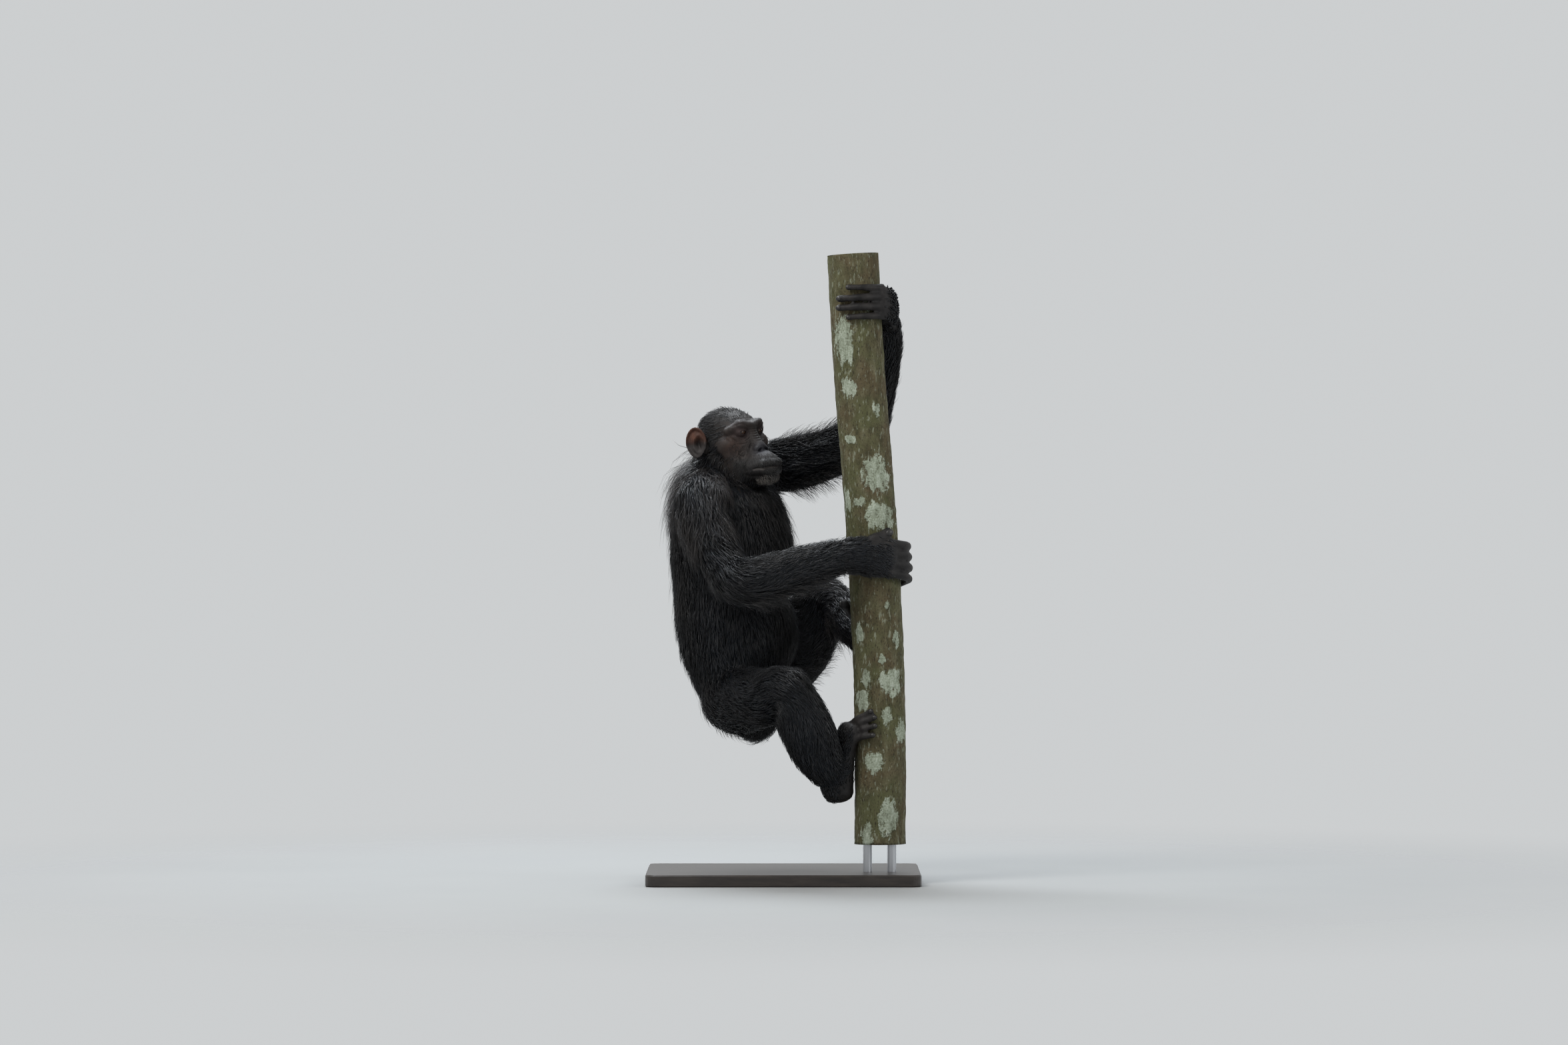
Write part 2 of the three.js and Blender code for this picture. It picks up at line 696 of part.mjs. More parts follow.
// The long coat: rows of locks over the nape, back, limbs and rump
const spot = (t, angle) => ({ t, angle });
const weight = v(0, 0, -0.5);
const nape = { toward: -1, wide: 46, lift: 26 };
const ruff = [
  lockRow(neckBody, { from: spot(0.86, 205), to: spot(0.86, 325), count: 4, length: 78, ...nape }),
  lockRow(neckBody, { from: spot(0.5, 195), to: spot(0.5, 340), count: 5, length: 96, ...nape }),
].flat();
const back = { toward: -1, wide: 76, lift: 5 };
const backCoat = [
  lockRow(torsoBody, {
    from: spot(0.9, 212), to: spot(0.9, 328), count: 4, length: 118, ...back, lift: 18,
  }),
  lockRow(torsoBody, { from: spot(0.7, 194), to: spot(0.7, 346), count: 5, length: 128, ...back }),
  lockRow(torsoBody, { from: spot(0.5, 206), to: spot(0.5, 334), count: 4, length: 128, ...back }),
  lockRow(torsoBody, { from: spot(0.32, 192), to: spot(0.32, 340), count: 4, length: 112, ...back }),
  lockRow(torsoBody, {
    from: spot(0.17, 220), to: spot(0.17, 320), count: 3, length: 80, ...back, wide: 60,
  }),
  lockRow(chestBody, {
    from: spot(0.5, 55), to: spot(0.5, 125), count: 3, length: 96, ...back, lift: 12,
  }),
].flat();
const arm = { wide: 52, lift: 4 };
const upperArmRightCoat = [
  lockRow(upperArmRight, { from: spot(0.1, 70), to: spot(0.1, 210), count: 3, length: 108, ...arm }),
  lockRow(upperArmRight, { from: spot(0.44, 40), to: spot(0.44, 225), count: 4, length: 104, ...arm }),
].flat();
const fringe = { pull: weight, length: 66, wide: 46, lift: 4 };
const upperArmLeftCoat = [
  lockRow(upperArmLeft, { from: spot(0.16, 272), to: spot(0.86, 272), count: 5, ...fringe }),
  lockRow(upperArmLeft, { from: spot(0.25, 95), to: spot(0.7, 95), count: 2, length: 96, ...arm }),
  lockRow(upperArmLeft, { from: spot(0.2, 190), to: spot(0.65, 190), count: 2, length: 96, ...arm }),
].flat();
const towardsElbow = { toward: -1, length: 84, wide: 42, lift: 5 };
const forearmRightCoat = [
  lockRow(forearmRight, { from: spot(0.42, 165), to: spot(0.92, 175), count: 3, ...towardsElbow }),
  lockRow(forearmRight, { from: spot(0.35, 20), to: spot(0.8, 10), count: 2, ...towardsElbow }),
].flat();
const forearmLeftCoat = lockRow(forearmLeft, {
  from: spot(0.45, 150), to: spot(0.85, 100), count: 2, ...towardsElbow,
});
const thigh = { length: 92, wide: 54, lift: 4 };
const thighRightCoat = lockRow(thighRight, {
  from: spot(0.2, 285), to: spot(0.5, 215), count: 3, ...thigh,
});
const thighLeftCoat = [
  lockRow(thighLeft, { from: spot(0.22, 98), to: spot(0.86, 105), count: 4, ...fringe, lift: 10 }),
  lockRow(thighLeft, { from: spot(0.15, 330), to: spot(0.6, 330), count: 2, ...thigh }),
].flat();
const shin = { length: 84, wide: 44, lift: 3 };
const lowerLegRightCoat = lockRow(lowerLegRight, {
  from: spot(0.12, 100), to: spot(0.45, 60), count: 2, ...shin,
});

// Materials
const material = (color, roughness) => new THREE.MeshStandardMaterial({ color, roughness, metalness: 0 });
const coat = material(0x14120f, 0.6);
const faceSkin = material(0x2b2623, 0.55);
const handSkin = material(0x1d1a18, 0.5);
const earSkin = material(0x3d2a22, 0.55);
const eyeMaterial = material(0x1e1008, 0.1);
const bark = material(0x6c6049, 0.9);
const standWood = material(0x2a2624, 0.4);
const steel = new THREE.MeshStandardMaterial({ color: 0x8d9094, roughness: 0.3, metalness: 1 });

// Each node gives way to those made before it, by the gap
const model = new THREE.Group();
const placed = [];
function addNode(name, look, solid, outer) {
  const clear = placed.reduce((whole, other) => whole.subtract(other), solid);
  const mesh = new THREE.Mesh(geometryOf(largest(clear)), look);
  mesh.name = name;
  model.add(mesh);
  placed.push(outer);
}

function addPieces(name, look, pieces) {
  const solid = unite(pieces.map((piece) => piece.solid()));
  addNode(name, look, solid, pieces.reduce((whole, piece) => whole.add(piece.solid(gap)), solid));
}

const sides = [["left", 1], ["right", -1]];
addNode("stand_base", standWood, standBase(), standBase());
addNode("stand_rod_left", steel, standRod(-rod.apart / 2), standRod(-rod.apart / 2));
addNode("stand_rod_right", steel, standRod(rod.apart / 2), standRod(rod.apart / 2));
addPieces("perch_trunk", bark, [perchTrunk]);
for (const [name, side] of sides) addPieces(`eye_${name}`, eyeMaterial, [eyeball(side)]);
addNode("head", faceSkin, headNode(), headBody.solid(gap));
for (const [name, side] of sides) {
  const { dish, cut } = earPieces(side);
  addNode(`ear_${name}`, earSkin, dish.solid().subtract(cut), dish.solid(gap));
}
addPieces("torso", coat, [...torsoPieces, ...backCoat]);
addPieces("neck", coat, [neckBody, ...ruff]);
addPieces("upper_arm_right", coat, [upperArmRight, ...upperArmRightCoat]);
addPieces("upper_arm_left", coat, [upperArmLeft, ...upperArmLeftCoat]);
addPieces("forearm_right", coat, [forearmRight, ...forearmRightCoat]);
addPieces("forearm_left", coat, [forearmLeft, ...forearmLeftCoat]);
addPieces("hand_right", handSkin, [palmRight, ...fingersRight, thumbRight]);
addPieces("hand_left", handSkin, [palmLeft, ...fingersLeft, thumbLeft]);
addPieces("thigh_right", coat, [thighRight, ...thighRightCoat]);
addPieces("thigh_left", coat, [thighLeft, ...thighLeftCoat]);
addPieces("lower_leg_right", coat, [lowerLegRight, ...lowerLegRightCoat]);
addPieces("lower_leg_left", coat, [lowerLegLeft]);
addPieces("foot_right", handSkin, [soleRight, ...toesRight, bigToeRight]);
addPieces("foot_left", handSkin, [soleLeft, ...toesLeft, bigToeLeft]);

export default model;
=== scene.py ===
import math

import bmesh
import bpy
import numpy as np
from mathutils import Matrix, Vector, noise
from mathutils.bvhtree import BVHTree


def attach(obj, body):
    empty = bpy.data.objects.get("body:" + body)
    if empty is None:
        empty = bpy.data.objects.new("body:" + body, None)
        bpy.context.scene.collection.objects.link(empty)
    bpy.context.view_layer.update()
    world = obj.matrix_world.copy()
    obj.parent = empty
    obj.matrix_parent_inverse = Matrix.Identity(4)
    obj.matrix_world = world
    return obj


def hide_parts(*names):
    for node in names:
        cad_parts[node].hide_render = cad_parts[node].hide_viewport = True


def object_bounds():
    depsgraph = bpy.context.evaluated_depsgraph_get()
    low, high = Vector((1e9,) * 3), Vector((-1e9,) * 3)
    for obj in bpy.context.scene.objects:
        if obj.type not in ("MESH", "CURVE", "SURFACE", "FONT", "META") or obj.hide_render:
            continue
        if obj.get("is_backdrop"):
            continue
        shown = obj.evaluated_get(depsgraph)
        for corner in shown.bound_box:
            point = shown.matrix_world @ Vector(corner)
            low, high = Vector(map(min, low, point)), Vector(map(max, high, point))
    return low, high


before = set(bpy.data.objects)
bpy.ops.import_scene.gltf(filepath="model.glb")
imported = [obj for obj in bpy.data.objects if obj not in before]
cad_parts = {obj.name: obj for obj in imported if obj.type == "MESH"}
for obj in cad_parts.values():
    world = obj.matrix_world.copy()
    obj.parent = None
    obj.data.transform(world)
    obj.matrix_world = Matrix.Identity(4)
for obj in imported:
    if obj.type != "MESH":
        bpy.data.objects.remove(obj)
cadLow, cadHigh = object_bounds()
mm = 0.001
fullTurn = 2 * math.pi
rng = np.random.default_rng(7)
scene = bpy.context.scene


def addObject(name, data):
    made = bpy.data.objects.new(name, data)
    scene.collection.objects.link(made)
    return made


# The camera looks level along +Y. Its sizes are in metres, and the sensor's in millimetres.
view = {"distance": 15.0, "height": 0.897, "across": 0.0017, "frameWidth": 3.92, "sensor": 36.0, "farthest": 200}
camera = addObject("Camera", bpy.data.cameras.new("Camera"))
camera.data.sensor_width = view["sensor"]
camera.data.lens = view["sensor"] * view["distance"] / view["frameWidth"]
camera.data.clip_end = view["farthest"]
camera.location = (view["across"], -view["distance"], view["height"])
camera.rotation_euler = (math.radians(90), 0, 0)
scene.camera = camera

lightsAim = Vector((0, 0, 0.9))
lights = {  # place and width in metres, power in watts, colour
    "keyLight": ((-2.4, -3.0, 4.4), 2.0, 160, (1.0, 0.98, 0.95)),
    "skyLight": ((-0.6, 1.9, 4.8), 2.6, 320, (0.90, 0.95, 1.0)),
    "sideLight": ((4.2, -2.2, 2.2), 2.4, 60, (1.0, 1.0, 1.0)),
}
for name, (at, size, power, colour) in lights.items():
    lamp = addObject(name, bpy.data.lights.new(name, "AREA"))
    lamp.data.shape = "DISK"
    lamp.data.size = size
    lamp.data.energy = power
    lamp.data.color = colour
    lamp.location = at
    lamp.rotation_euler = (Vector(at) - lightsAim).to_track_quat("Z", "Y").to_euler()


class Shader:  # a material's node tree, built from expressions on sockets
    def __init__(self, name):
        self.material = bpy.data.materials.new(name)
        self.material.use_nodes = True
        self.tree = self.material.node_tree
        self.tree.nodes.clear()

    def node(self, kind, settings=(), inputs=(), output=0):
        made = self.tree.nodes.new(kind)
        for key, value in dict(settings).items():
            if key == "stops":
                ramp = made.color_ramp
                while len(ramp.elements) < len(value):
                    ramp.elements.new(0.5)
                for element, (place, colour) in zip(ramp.elements, value):
                    element.position = place
                    element.color = (*colour, 1)
            else:
                setattr(made, key, value)
        for key, value in dict(inputs).items():
            if isinstance(value, Socket):
                self.tree.links.new(value.socket, made.inputs[key])
            else:
                made.inputs[key].default_value = value
        return Socket(self, made.outputs[output])

    def place(self, scale=(1, 1, 1)):  # object coordinates
        return self.node("ShaderNodeMapping", (), {"Vector": self.node("ShaderNodeTexCoord", output="Object"),
                                                   "Scale": scale})

    def speckle(self, place, scale, detail=4, roughness=0.55):
        return self.node("ShaderNodeTexNoise", (), {"Vector": place, "Scale": scale, "Detail": detail,
                                                    "Roughness": roughness})

    def mix(self, share, first, second, way="MIX"):  # two colours
        return self.node("ShaderNodeMix", {"data_type": "RGBA", "blend_type": way},
                         {0: share, 6: first, 7: second}, output=2)

    def ranged(self, value, low, high, to=(0, 1), way="LINEAR"):  # a value from low to high, held inside a new range
        return self.node("ShaderNodeMapRange", {"interpolation_type": way}, {
            "Value": value, "From Min": low, "From Max": high, "To Min": to[0], "To Max": to[1]})

    def ramp(self, share, stops):
        return self.node("ShaderNodeValToRGB", {"stops": stops}, {"Fac": share})

    def attribute(self, name, output=2):  # output 0 is its colour, and 2 its number
        return self.node("ShaderNodeAttribute", {"attribute_name": name}, output=output)

    def bump(self, height, distance, strength):
        return self.node("ShaderNodeBump", (), {"Height": height, "Distance": distance, "Strength": strength})

    def finish(self, surface):  # the material with a shader's socket, or with the values of a Principled shader
        if isinstance(surface, dict):
            surface = self.node("ShaderNodeBsdfPrincipled", (), surface)
        output = self.tree.nodes.new("ShaderNodeOutputMaterial")
        self.tree.links.new(surface.socket, output.inputs["Surface"])
        return self.material


class Socket:  # one output, with arithmetic that adds Math nodes
    def __init__(self, shader, socket):
        self.shader = shader
        self.socket = socket

    def sum(self, operation, first, second):
        return self.shader.node("ShaderNodeMath", {"operation": operation}, {0: first, 1: second})

    def __add__(self, other):
        return self.sum("ADD", self, other)

    def __sub__(self, other):
        return self.sum("SUBTRACT", self, other)

    def __rsub__(self, other):
        return self.sum("SUBTRACT", other, self)

    def __mul__(self, other):
        return self.sum("MULTIPLY", self, other)

    __radd__ = __add__
    __rmul__ = __mul__


def newObject(name, bm, material):
    mesh = bpy.data.meshes.new(name)
    bm.to_mesh(mesh)
    bm.free()
    mesh.materials.append(material)
    return addObject(name, mesh)


studio = {"floorSolid": 0.8, "floorGone": 3.2, "backdrop": (0.82, 0.84, 0.85, 1), "glow": 0.74}


def paleMaterial():  # a pale matt floor, which thins out into the pale backdrop
    shader = Shader("paleFloor")
    place = shader.place()
    colour = shader.mix(shader.speckle(place, 1.5), (0.290, 0.296, 0.298, 1), (0.315, 0.320, 0.318, 1))
    far = shader.node("ShaderNodeVectorMath", {"operation": "LENGTH"}, {0: place}, output=1)
    share = shader.ranged(far, studio["floorSolid"], studio["floorGone"], way="SMOOTHSTEP")
    values = {"Base Color": colour, "Roughness": 0.9, "Specular IOR Level": 0.1}
    matt = shader.node("ShaderNodeBsdfPrincipled", (), values)
    clear = shader.node("ShaderNodeBsdfTransparent")
    return shader.finish(shader.node("ShaderNodeMixShader", (), {0: share, 1: matt, 2: clear}))


floorMesh = bmesh.new()
bmesh.ops.create_circle(floorMesh, cap_ends=True, segments=96, radius=studio["floorGone"])
floor = newObject("floor", floorMesh, paleMaterial())
floor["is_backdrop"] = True
world = bpy.data.worlds.new("softStudio")
scene.world = world
world.use_nodes = True
world.node_tree.nodes["Background"].inputs["Color"].default_value = studio["backdrop"]
world.node_tree.nodes["Background"].inputs["Strength"].default_value = studio["glow"]
scene.view_settings.view_transform = "Standard"
print("stage: camera, floor and lights are in place")


def unit(vector):
    vector = np.asarray(vector, float)
    return vector / np.linalg.norm(vector, axis=-1, keepdims=True)


def rowDot(a, b):
    return np.sum(a * b, axis=-1, keepdims=True)


def lengths(vectors):
    return np.linalg.norm(vectors, axis=1)


def spline(points, t):  # a smooth curve through rows of numbers, at shares t of its length
    points = np.asarray(points, float)
    padded = np.vstack([2 * points[0] - points[1], points, 2 * points[-1] - points[-2]])
    place = np.clip(np.asarray(t, float), 0, 1) * (len(points) - 1)
    span = np.minimum(place.astype(int), len(points) - 2)
    w = (place - span)[..., None]
    a, b, c, d = (padded[span + k] for k in range(4))
    slopeIn, slopeOut = (c - a) / 2, (d - b) / 2
    cubed, squared = 2 * b - 2 * c + slopeIn + slopeOut, 3 * c - 3 * b - 2 * slopeIn - slopeOut
    return cubed * w**3 + squared * w**2 + slopeIn * w + b


def smoothStep(low, high, value):
    share = np.clip((value - low) / (high - low), 0, 1)
    return share * share * (3 - 2 * share)


waves = rng.normal(size=(3, 14, 3))
phases = rng.uniform(0, fullTurn, (3, 14))


def drift(points, size):  # three smooth random numbers at each point, that change over a size in millimetres
    turns = np.einsum("nd,ckd->nck", points / size, waves) + phases
    return np.sin(turns).mean(axis=2) * 2.6  # about 0.5 in size


trunk = {
    "radius": 64.0, "bark": 1.4,  # the bark stands proud of the radius
    "axis": [(239, -120, 100), (238, -120, 537), (218, -120, 870), (194, -120, 1203), (172, -120, 1562)],
}
trunkLine = spline(trunk["axis"], np.linspace(0, 1, 161))


def trunkCentre(z):
    z = np.asarray(z, float)
    y = np.full(z.shape, float(trunk["axis"][0][1]))
    return np.stack([np.interp(z, trunkLine[:, 2], trunkLine[:, 0]), y, z], axis=-1)


def awayFromTrunk(points):
    out = points - trunkCentre(points[..., 2])
    out[..., 2] = 0
    return unit(out)


def roundTrunk(angle, clearance, z):  # a point round the trunk, at a clearance from the bark
    turn = math.radians(angle)
    reach = trunk["radius"] + trunk["bark"] + clearance
    return trunkCentre(z) + reach * np.array([math.cos(turn), math.sin(turn), 0])


def placing(across, through, along, centre):  # the matrix that puts a unit shape in its place, from its columns
    matrix = Matrix.Identity(4)
    for column, vector in enumerate((across, through, along, centre)):
        for row in range(3):
            matrix[row][column] = vector[row]
    return matrix


def bridged(bm, rings):  # one closed body over rings of vertices
    loops = [list({edge for vert in ring for edge in vert.link_edges}) for ring in rings]
    for low, high in zip(loops, loops[1:]):
        bmesh.ops.bridge_loops(bm, edges=low + high)
    for loop in (loops[0], loops[-1]):
        bmesh.ops.edgeloop_fill(bm, edges=loop)


class Tube:  # a body along stations (x, y, z, wide, deep), less a depth of coat at its two ends
    def __init__(self, stations, face, depth=(0, 0), domes=(0.7, 0.7)):
        self.stations = np.array(stations, float)
        self.face = face
        self.depth = depth
        self.domes = domes

    def at(self, t):
        t = np.asarray(t, float)
        here = spline(self.stations, t)
        before, after = (spline(self.stations, np.clip(t + step, 0, 1)) for step in (-1e-3, 1e-3))
        centre, along = here[..., :3], unit(after[..., :3] - before[..., :3])
        facing = self.face(centre) if callable(self.face) else np.broadcast_to(unit(self.face), centre.shape)
        deepAxis = unit(facing - along * rowDot(facing, along))
        wideAxis = np.cross(along, deepAxis)
        less = self.depth[0] + (self.depth[1] - self.depth[0]) * t
        return centre, along, wideAxis, deepAxis, here[..., 3] - less, here[..., 4] - less

    def rings(self, bm, sides=20, count=18):
        domes = [(math.cos(math.radians(bend)), math.sin(math.radians(bend))) for bend in (82, 60, 34)]
        shares = [(0.0, size, -rise * self.domes[0]) for size, rise in domes]
        shares += [(i / (count - 1), 1.0, 0.0) for i in range(count)]
        shares += [(1.0, size, rise * self.domes[1]) for size, rise in reversed(domes)]
        rings = []
        for t, size, shift in shares:
            centre, along, wideAxis, deepAxis, wide, deep = self.at(t)
            centre = centre + along * shift * min(wide, deep)
            matrix = placing(wideAxis * wide * size * mm, deepAxis * deep * size * mm, along, centre * mm)
            rings.append(bmesh.ops.create_circle(bm, segments=sides, radius=1, matrix=matrix)["verts"])
        bridged(bm, rings)


def addEllipsoid(bm, at, size, turn=Matrix.Identity(3), detail=(24, 16)):
    matrix = Matrix.Translation(Vector(at) * mm) @ turn.to_4x4() @ Matrix.Diagonal((*(Vector(size) * mm), 1))
    bmesh.ops.create_uvsphere(bm, u_segments=detail[0], v_segments=detail[1], radius=1, matrix=matrix)


def remeshed(name, bm, voxel, smoothing):  # one closed surface round everything in the bmesh, smoothed
    bmesh.ops.recalc_face_normals(bm, faces=bm.faces)
    source = newObject(name, bm, bpy.data.materials.get("blank") or bpy.data.materials.new("blank"))
    modifier = source.modifiers.new("even", "REMESH")
    modifier.mode = "VOXEL"
    modifier.voxel_size = voxel
    done = bmesh.new()
    done.from_mesh(source.evaluated_get(bpy.context.evaluated_depsgraph_get()).to_mesh())
    bpy.data.objects.remove(source)
    for _ in range(smoothing):
        bmesh.ops.smooth_vert(done, verts=done.verts, factor=0.5, use_axis_x=True, use_axis_y=True, use_axis_z=True)
    return done


torsoYaw = math.radians(-30)
forward = np.array([math.cos(torsoYaw), math.sin(torsoYaw), 0])
up = (0, 0, 1)
bodyForms = {  # stations (x, y, z, wide, deep), the way that the depth faces, the depth of coat at the two ends
    "torso": ([
        (-78, 62, 385, 66, 44), (-80, 68, 425, 112, 80), (-94, 75, 480, 136, 102), (-115, 80, 560, 150, 118),
        (-129, 81, 650, 158, 127), (-139, 85, 753, 160, 127), (-146, 85, 850, 161, 123),
        (-154, 84, 920, 154, 115), (-165, 84, 975, 120, 100),
    ], forward, (6, 8)),
    "chest": ([
        (-98, 54, 690, 110, 84), (-92, 52, 770, 134, 106), (-90, 50, 850, 138, 108), (-96, 54, 930, 122, 90),
        (-110, 60, 990, 84, 60),
    ], forward, (8, 10)),
    "yoke": ([
        (-203, -38, 948, 50, 50), (-185, 25, 968, 50, 56), (-160, 84, 975, 56, 62), (-105, 130, 990, 54, 56),
        (-45, 168, 1025, 52, 50),
    ], up, (8, 8)),
    "neck": ([
        (-172, 86, 950, 84, 80), (-168, 84, 1003, 74, 74), (-156, 78, 1048, 66, 68), (-142, 70, 1082, 60, 62),
    ], forward, (12, 10)),
    "upperArmRight": ([
        (-213, -50, 957, 60, 62), (-190, -92, 887, 56, 60), (-162, -142, 818, 48, 52), (-125, -205, 740, 44, 46),
    ], (-1, 0, 0), (8, 7)),
    "forearmRight": ([
        (-125, -205, 740, 47, 46), (-70, -217, 752, 56, 50), (10, -226, 775, 53, 44), (92, -229, 800, 46, 36),
        (152, -223, 817, 41, 30),
    ], (0, -1, 0), (7, 2)),
    "upperArmLeft": ([
        (-25, 180, 1042, 62, 66), (28, 143, 1048, 58, 64), (92, 92, 1064, 54, 62), (160, 42, 1088, 48, 56),
        (212, 4, 1120, 44, 48),
    ], up, (8, 7)),
    "forearmLeft": ([
        (212, 4, 1120, 44, 44), (229, -10, 1203, 48, 47), (243, -18, 1270, 46, 44), (257, -33, 1335, 40, 37),
        (261, -54, 1390, 34, 29),
    ], awayFromTrunk, (6, 2)),
    "thighRight": ([
        (-138, 12, 455, 82, 74), (-94, -68, 450, 80, 72), (-44, -148, 462, 70, 64), (2, -200, 495, 54, 54),
    ], (1, 0, 0), (7, 6)),
    "lowerLegRight": ([
        (2, -200, 495, 54, 58), (30, -203, 447, 53, 64), (60, -197, 385, 52, 68), (86, -178, 322, 45, 60),
        (120, -150, 270, 38, 46),
    ], (-1, 0, 0), (6, 3)),
    "thighLeft": ([
        (-70, 142, 470, 84, 80), (12, 168, 554, 78, 84), (68, 179, 636, 72, 78), (104, 177, 704, 61, 62),
    ], (1, 0, -1), (4, 3)),
    "lowerLegLeft": ([
        (104, 177, 704, 58, 58), (137, 138, 684, 52, 56), (172, 72, 638, 44, 48), (215, 0, 592, 36, 39),
    ], (-1, 0, 1), (4, 3)),
}
tubes = {name: Tube(*form) for name, form in bodyForms.items()}
bodyMesh = bmesh.new()
for tube in tubes.values():
    tube.rings(bodyMesh)
belly = {"at": (-86, 55, 620), "size": (104, 122, 140)}
addEllipsoid(bodyMesh, belly["at"], belly["size"], Matrix.Rotation(torsoYaw, 3, "Z"))
body = remeshed("bodyForm", bodyMesh, 0.009, 10)  # voxels in metres, rounds of smoothing
print("stage: body", len(body.faces))

# Hands and feet: each digit is thickest at its base, at its middle joint and near its tip.
extremities = {
    "voxel": 0.0034, "smoothing": 2, "taper": 0.2, "joint": 0.08, "base": 0.2, "baseShare": 0.35, "offBark": 2.0,
}


def digit(bm, start, end, radius, bow=3.0, steps=6):  # from and to (angle round the trunk, height)
    stations = []
    for i in range(steps):
        t = i / (steps - 1)
        angle, z = (a + (b - a) * t for a, b in zip(start, end))
        swell = extremities["joint"] * math.cos(2 * fullTurn * t)
        base = extremities["base"] * max(0, 1 - t / extremities["baseShare"])
        thick = radius * (1 - extremities["taper"] * t + swell + base)
        clear = thick + extremities["offBark"] + bow * math.sin(math.pi * (0.15 + 0.85 * t))
        stations.append((*roundTrunk(angle, clear, z), thick, thick))
    Tube(stations, awayFromTrunk, domes=(0.4, 0.9)).rings(bm, 14, 16)
    return stations


palmRight = [
    (152, -223, 817, 40, 29), (*roundTrunk(-108, 25, 815), 47, 24), (*roundTrunk(-82, 21, 812), 50, 21),
    (*roundTrunk(-58, 19, 809), 47, 18),
]
palmLeft = [
    (261, -54, 1390, 34, 28), (*roundTrunk(30, 24, 1412), 38, 22), (*roundTrunk(10, 21, 1427), 40, 20),
    (*roundTrunk(-16, 19, 1437), 42, 18), (*roundTrunk(-40, 18, 1441), 41, 16),
]
soleRight = [
    (*roundTrunk(192, 38, 224), 31, 37), (*roundTrunk(192, 42, 260), 35, 41), (*roundTrunk(196, 28, 323), 37, 27),
    (*roundTrunk(203, 21, 372), 41, 20), (*roundTrunk(205, 17, 392), 38, 15),
]
soleLeft = [
    (*roundTrunk(98, 37, 535), 30, 36), (*roundTrunk(97, 39, 565), 34, 38), (*roundTrunk(94, 28, 620), 37, 27),
    (*roundTrunk(88, 21, 668), 41, 20), (*roundTrunk(86, 17, 688), 38, 15),
]
limbEnds = bmesh.new()
for stations in (palmRight, palmLeft, soleRight, soleLeft):
    Tube(stations, awayFromTrunk).rings(limbEnds, 20, 14)
digits = []
for i in range(4):
    tip = (52 - 9 * abs(i - 1.3), 832 - 29 * i)
    digits.append(digit(limbEnds, (-66, 845 - 24 * i), tip, 10.8 if i == 3 else 12.2, bow=9))
digits.append(digit(limbEnds, (-108, 842), (-60, 872), 15.5, steps=5))
for low, high, tip, radius in [(1477, 1478, -103, 9.2), (1456, 1450, -122, 10.2), (1432, 1427, -124, 10.2),
                               (1409, 1404, -106, 9.2)]:
    digits.append(digit(limbEnds, (-34, low), (tip, high), radius))
digits.append(digit(limbEnds, (40, 1428), (108, 1468), 14, steps=5))
for start, end in [((196, 392), (252, 431)), ((206, 388), (259, 416)), ((216, 379), (260, 395)),
                   ((225, 366), (256, 372))]:
    digits.append(digit(limbEnds, start, end, 8.8, steps=5))
digits.append(digit(limbEnds, (184, 352), (118, 384), 15, steps=5))
for i in range(4):
    start, end = (97 - 10.5 * i, 692 - 4 * i * i), (86 - 13 * i, 742 - 5 * i * i)
    digits.append(digit(limbEnds, start, end, 9.0, steps=5))
digits.append(digit(limbEnds, (106, 650), (166, 694), 15, steps=5))
ends = remeshed("limbEndForms", limbEnds, extremities["voxel"], extremities["smoothing"])
print("stage: hands and feet", len(ends.faces))

# Head: its own frame has X forwards, Y to the animal's left and Z upwards.
headPose = {"at": (-136, 65, 1088), "yaw": -47, "pitch": 4, "roll": 6}
headMatrix = (
    Matrix.Translation(headPose["at"])
    @ Matrix.Rotation(math.radians(headPose["yaw"]), 4, "Z")
    @ Matrix.Rotation(math.radians(-headPose["pitch"]), 4, "Y")
    @ Matrix.Rotation(math.radians(headPose["roll"]), 4, "X")
)
headTurn = np.array(headMatrix.to_3x3())
headAt = np.array(headPose["at"], float)
headCore = np.array([42.0, 0, -4])
eyes = {"at": (79, 29, 33), "radius": 12.5, "lids": (14.8, 15.6, 14.6), "opening": (20, 10.5, 4.3)}


def fromHead(points):
    return np.asarray(points, float) @ headTurn.T + headAt


def toHead(points):
    return (np.asarray(points, float) - headAt) @ headTurn


def mirrored(p):  # points brought to the head's left side
    return p * (1, 0, 1) + np.abs(p) * (0, 1, 0)


def ellipsoidDistance(p, at, size):
    q = (p - at) / size
    near = lengths(q)
    return near * (near - 1) / np.maximum(lengths(q / size), 1e-6)


def barDistance(p, a, b, startRadius, endRadius):
    a, b = np.array(a, float), np.array(b, float)
    span = b - a
    t = np.clip((p - a) @ span / (span @ span), 0, 1)
    return lengths(p - a - t[:, None] * span) - (startRadius + (endRadius - startRadius) * t)


def joined(a, b, soft):
    h = np.maximum(soft - np.abs(a - b), 0) / soft
    return np.minimum(a, b) - h * h * soft / 4


